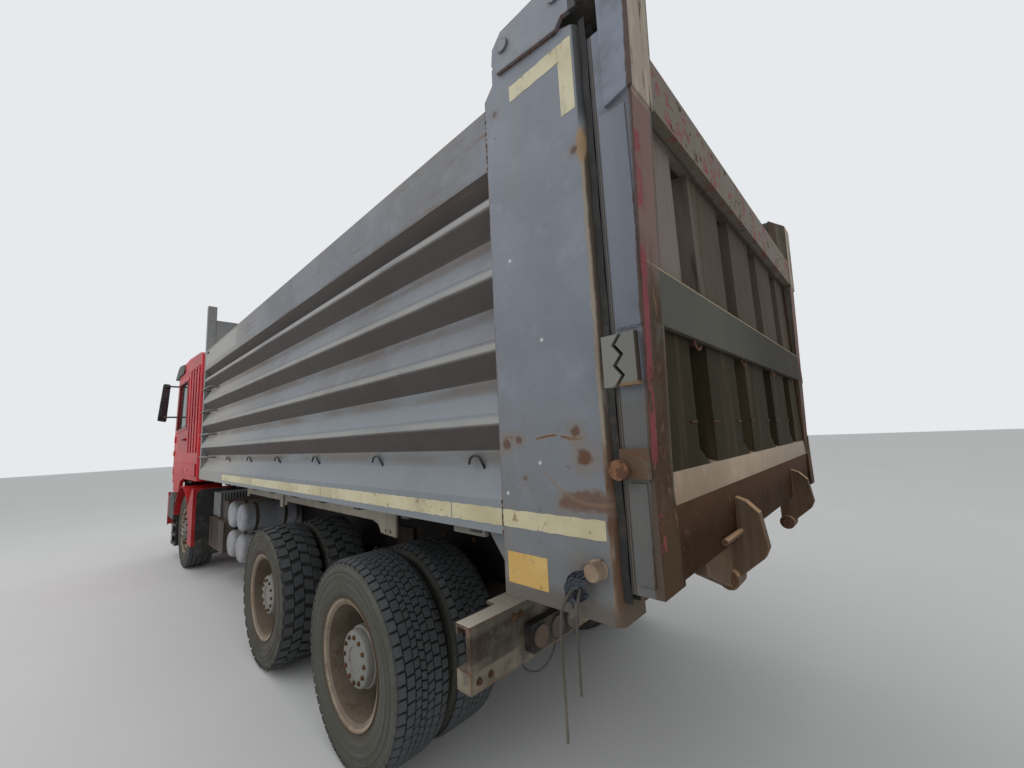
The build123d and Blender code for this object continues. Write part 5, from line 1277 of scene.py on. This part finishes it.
# Bolts on the headboard's posts and at the front of the top rails
bm = bmesh.new()
for hand, side in SIDES:
    for z in (1.4, 1.75, 2.1, 2.45, 2.8, 3.15):
        hex_bolt(bm, (side * 1.205, -1.5702, z), (0, -1, 0), 0.024, 0.012, 0.004)
    for y in (-1.4, -1.34):
        hex_bolt(bm, (side * 1.2502, y, 2.8), (side, 0, 0), 0.018, 0.009)
piece("bed_bolts", made(bm), "bed", rusty_bolt)

# Mirror glass: a large pane and a small one below it
MIRROR_PANES = (((1.306, 2.712), (1.374, 2.722), (1.417, 2.41), (1.318, 2.395)),
                ((1.319, 2.372), (1.419, 2.386), (1.424, 2.165), (1.327, 2.146)))
bm = bmesh.new()
for hand, side in SIDES:
    for pane in MIRROR_PANES:
        plate(bm, [(side * x, -4.0298, z) for x, z in pane], (0, 0.0025, 0))
mirror_silver = bare_steel("mirror_silver", (82, 86, 90), (70, 72, 74), 0.9, 0.12)
piece("mirror_glass", made(bm), "cab", mirror_silver, False)

# Wipers on the leaning windscreen
SCREEN_FOOT_Y = -4.03
SCREEN_FOOT_Z = 1.96
SCREEN_LEAN = 0.17 / (2.87 - SCREEN_FOOT_Z)


def screen_y(z):
    """The windscreen's outer face."""
    return SCREEN_FOOT_Y + (z - SCREEN_FOOT_Z) * SCREEN_LEAN


bm = bmesh.new()
for x0, x1 in ((-0.62, -0.08), (0.1, 0.66)):
    foot = Vector((x0, screen_y(2.03) - 0.03, 2.035))
    tip = Vector((x1, screen_y(2.34) - 0.012, 2.34))
    tube(bm, [foot, foot.lerp(tip, 0.5) + Vector((0, -0.014, 0)), tip], 0.007, 6)
    blade_foot = (x1 - 0.1, screen_y(2.06) - 0.007, 2.07)
    blade_top = (x1 + 0.02, screen_y(2.62) - 0.007, 2.62)
    tube(bm, straight(blade_foot, blade_top, 0.08), 0.006, 6)
    turned(bm, foot, (0, -1, 0.15), [(-0.028, 0.022), (0.004, 0.022), (0.01, 0.016)], 14)
piece("wipers", made(bm), "cab", black_plastic)

# Marker lamps on the roof and the cab's sides
bm = bmesh.new()
for x in (-0.92, -0.46, 0, 0.46, 0.92):
    rounded_box(bm, (x - 0.055, -3.87, 2.955), (x + 0.055, -3.79, 2.992), 0.014, 3)
piece("roof_lamps", made(bm), "cab", amber_lens)
bm = bmesh.new()
for hand, side in SIDES:
    rounded_box(bm, (side * 1.198, -2.8, 1.35), (side * 1.222, -2.7, 1.385), 0.006)
    rounded_box(bm, (side * 1.198, -4.035, 1.56), (side * 1.216, -3.975, 1.64), 0.006)
piece("side_lamps", made(bm), "cab", amber_lens)

# A light bar under each side behind the rear wheels
light_bar = plastic("light_bar", (112, 108, 99), 0.4, 0.6)
for hand, side in SIDES:
    bm = bmesh.new()
    rounded_box(bm, (side * 1.185, 3.285, 1.246), (side * 1.205, 3.47, 1.276))
    piece(f"light_bar_{hand}", made(bm), "bed", light_bar)


# Window rubbers and the doors' handles
def rubber_frame(bm, corners, radius):
    """A rubber bead round a window."""
    loop = [Vector(c) for c in corners]
    for a, b in zip(loop, loop[1:] + loop[:1]):
        tube(bm, [a, a.lerp(b, 0.5), b], radius, 6)


WINDSCREEN = ((-1.09, 2.06), (1.09, 2.06), (1.03, 2.78), (-1.03, 2.78))
REAR_WINDOW = ((-0.7, 2.05), (0.7, 2.05), (0.7, 2.5), (-0.7, 2.5))
DOOR_WINDOW = ((-3.85, 1.96), (-3.02, 1.99), (-3.02, 2.68), (-3.71, 2.68))
bm = bmesh.new()
rubber_frame(bm, [(x, screen_y(z) - 0.004, z) for x, z in WINDSCREEN], 0.011)
rubber_frame(bm, [(x, -2.034, z) for x, z in REAR_WINDOW], 0.01)
piece("screen_rubber", made(bm), "cab", seal_rubber)
for hand, side in SIDES:
    bm = bmesh.new()
    rubber_frame(bm, [(side * 1.2035, *corner) for corner in DOOR_WINDOW], 0.009)
    rounded_box(bm, (side * 1.222, -3.155, 1.786), (side * 1.238, -3.01, 1.806), 0.005)
    piece(f"door_trim_{hand}", made(bm), f"door_{hand}", black_plastic)

# The blank front plate
bm = bmesh.new()
rounded_box(bm, (-0.66, -4.2232, 0.862), (-0.14, -4.2185, 0.966), 0.002, 1)
piece("front_plate", made(bm), "chassis", number_plate())

# Straps round the air tanks: three faces of a flat band, open towards the tank
STRAP_IN = 0.147
STRAP_OUT = 0.15
STRAP_HALF = 0.014
STRAP_SECTION = ((-STRAP_HALF, STRAP_IN), (-STRAP_HALF, STRAP_OUT), (STRAP_HALF, STRAP_OUT),
                 (STRAP_HALF, STRAP_IN))
bm = bmesh.new()
for y in (-1.01, -0.62):
    for z in (0.88, 0.56):
        for x in (0.62, 0.9):
            rows = []
            for a in [2 * pi * k / 40 for k in range(40)]:
                band = [(x + dx, y + r * sin(a), z + r * cos(a)) for dx, r in STRAP_SECTION]
                rows.append([bm.verts.new(corner) for corner in band])
            skin(bm, rows + rows[:1], closed=False)
piece("air_tank_straps", made(bm), "chassis", axle_iron)

# Straps round the fuel tank
FUEL_STRAP = ((-1.0625, 0.5), (-1.0625, 0.88), (-0.985, 0.9725), (-0.545, 0.9725))
bm = bmesh.new()
for y in (-1.72, -0.9):
    path = smooth_path([(x, y, z) for x, z in FUEL_STRAP])
    half = Vector((0, 0.02, 0))
    for a, b in zip(path, path[1:]):
        plate(bm, [a - half, a + half, b + half, b - half], (-0.001, 0, 0.002))
piece("fuel_tank_straps", made(bm), "chassis", axle_iron)

# Tread plates on the steps: raised bars
bm = bmesh.new()
for hand, side in SIDES:
    for z in (0.518, 0.373, 0.233):
        for i in range(11):
            y = -3.935 + i * 0.0335
            low = (side * 1.062, y - 0.004, z - 0.001)
            rounded_box(bm, low, (side * 1.18, y + 0.004, z + 0.004), 0.0015, 1)
piece("step_treads", made(bm), "chassis", black_plastic)

# Grille mesh behind the bars
MESH_PITCH = 0.0295
MESH_WIRE = 0.0022
bm = bmesh.new()
for i in range(53):
    x = -0.767 + i * MESH_PITCH
    tube(bm, straight((x, -4.0935, 1.236), (x, -4.0935, 1.724), 0.12), MESH_WIRE, 5)
for i in range(17):
    z = 1.245 + i * MESH_PITCH
    tube(bm, straight((-0.772, -4.0925, z), (0.772, -4.0925, z), 0.4), MESH_WIRE, 5)
piece("grille_mesh", made(bm), "cab", black_plastic)

# Black valance that closes the gap between the cab's front and the bumper, cut out round the cab's mounts
VALANCE_FOOT = 0.992
VALANCE_TOP = 1.131
bm = bmesh.new()
for x0, x1 in ((-1.035, -0.515), (-0.325, 0.325), (0.515, 1.035)):
    corners = ((x0, VALANCE_FOOT), (x1, VALANCE_FOOT), (x1, VALANCE_TOP), (x0, VALANCE_TOP))
    plate(bm, [(x, -4.094, z) for x, z in corners], (0, -0.006, 0))
    tube(bm, straight((x0, -4.097, VALANCE_FOOT), (x1, -4.097, VALANCE_FOOT), 0.08), 0.005, 6)
piece("front_valance", made(bm), "cab", black_plastic)

# Thin wires that hang at the front left corner
thin_wire = plastic("thin_wire", (60, 56, 50), 0.4, 0.7)
CORNER_WIRE = [(1.2275, -3.64, 0.625), (1.229, -3.632, 0.59), (1.23, -3.612, 0.52), (1.229, -3.6, 0.43),
               (1.23, -3.606, 0.33), (1.228, -3.612, 0.24)]
CORNER_LOOP = [(1.2275, -3.98, 0.612), (1.229, -3.985, 0.57), (1.23, -4, 0.5), (1.23, -4.035, 0.47),
               (1.23, -4.07, 0.5), (1.229, -4.082, 0.56), (1.2275, -4.084, 0.608)]
free_cord("corner_wire", CORNER_WIRE, 0.005, "chassis", thin_wire)
free_cord("corner_loop", CORNER_LOOP, 0.006, "chassis", thin_wire)

# Spring brake chambers on the rear axles, each with its hose
CHAMBER_Z = 0.655
CHAMBER = [(0, 0.05), (0.01, 0.07), (0.075, 0.073), (0.085, 0.082), (0.1, 0.082), (0.108, 0.073),
           (0.15, 0.072), (0.158, 0.08), (0.17, 0.08), (0.18, 0.055), (0.184, 0.02)]
bm = bmesh.new()
for axle_y in (MID_Y, REAR_Y):
    y = axle_y - 0.245
    for hand, side in SIDES:
        turned(bm, (side * 0.36, y, CHAMBER_Z), (0, 1, 0), CHAMBER, 24)
        hose = [(side * 0.36, y, 0.69), (side * 0.35, y - 0.055, 0.72), (side * 0.335, y - 0.085, 0.79)]
        tube(bm, smooth_path(hose), 0.009)
piece("brake_chambers", made(bm), "chassis", axle_iron)
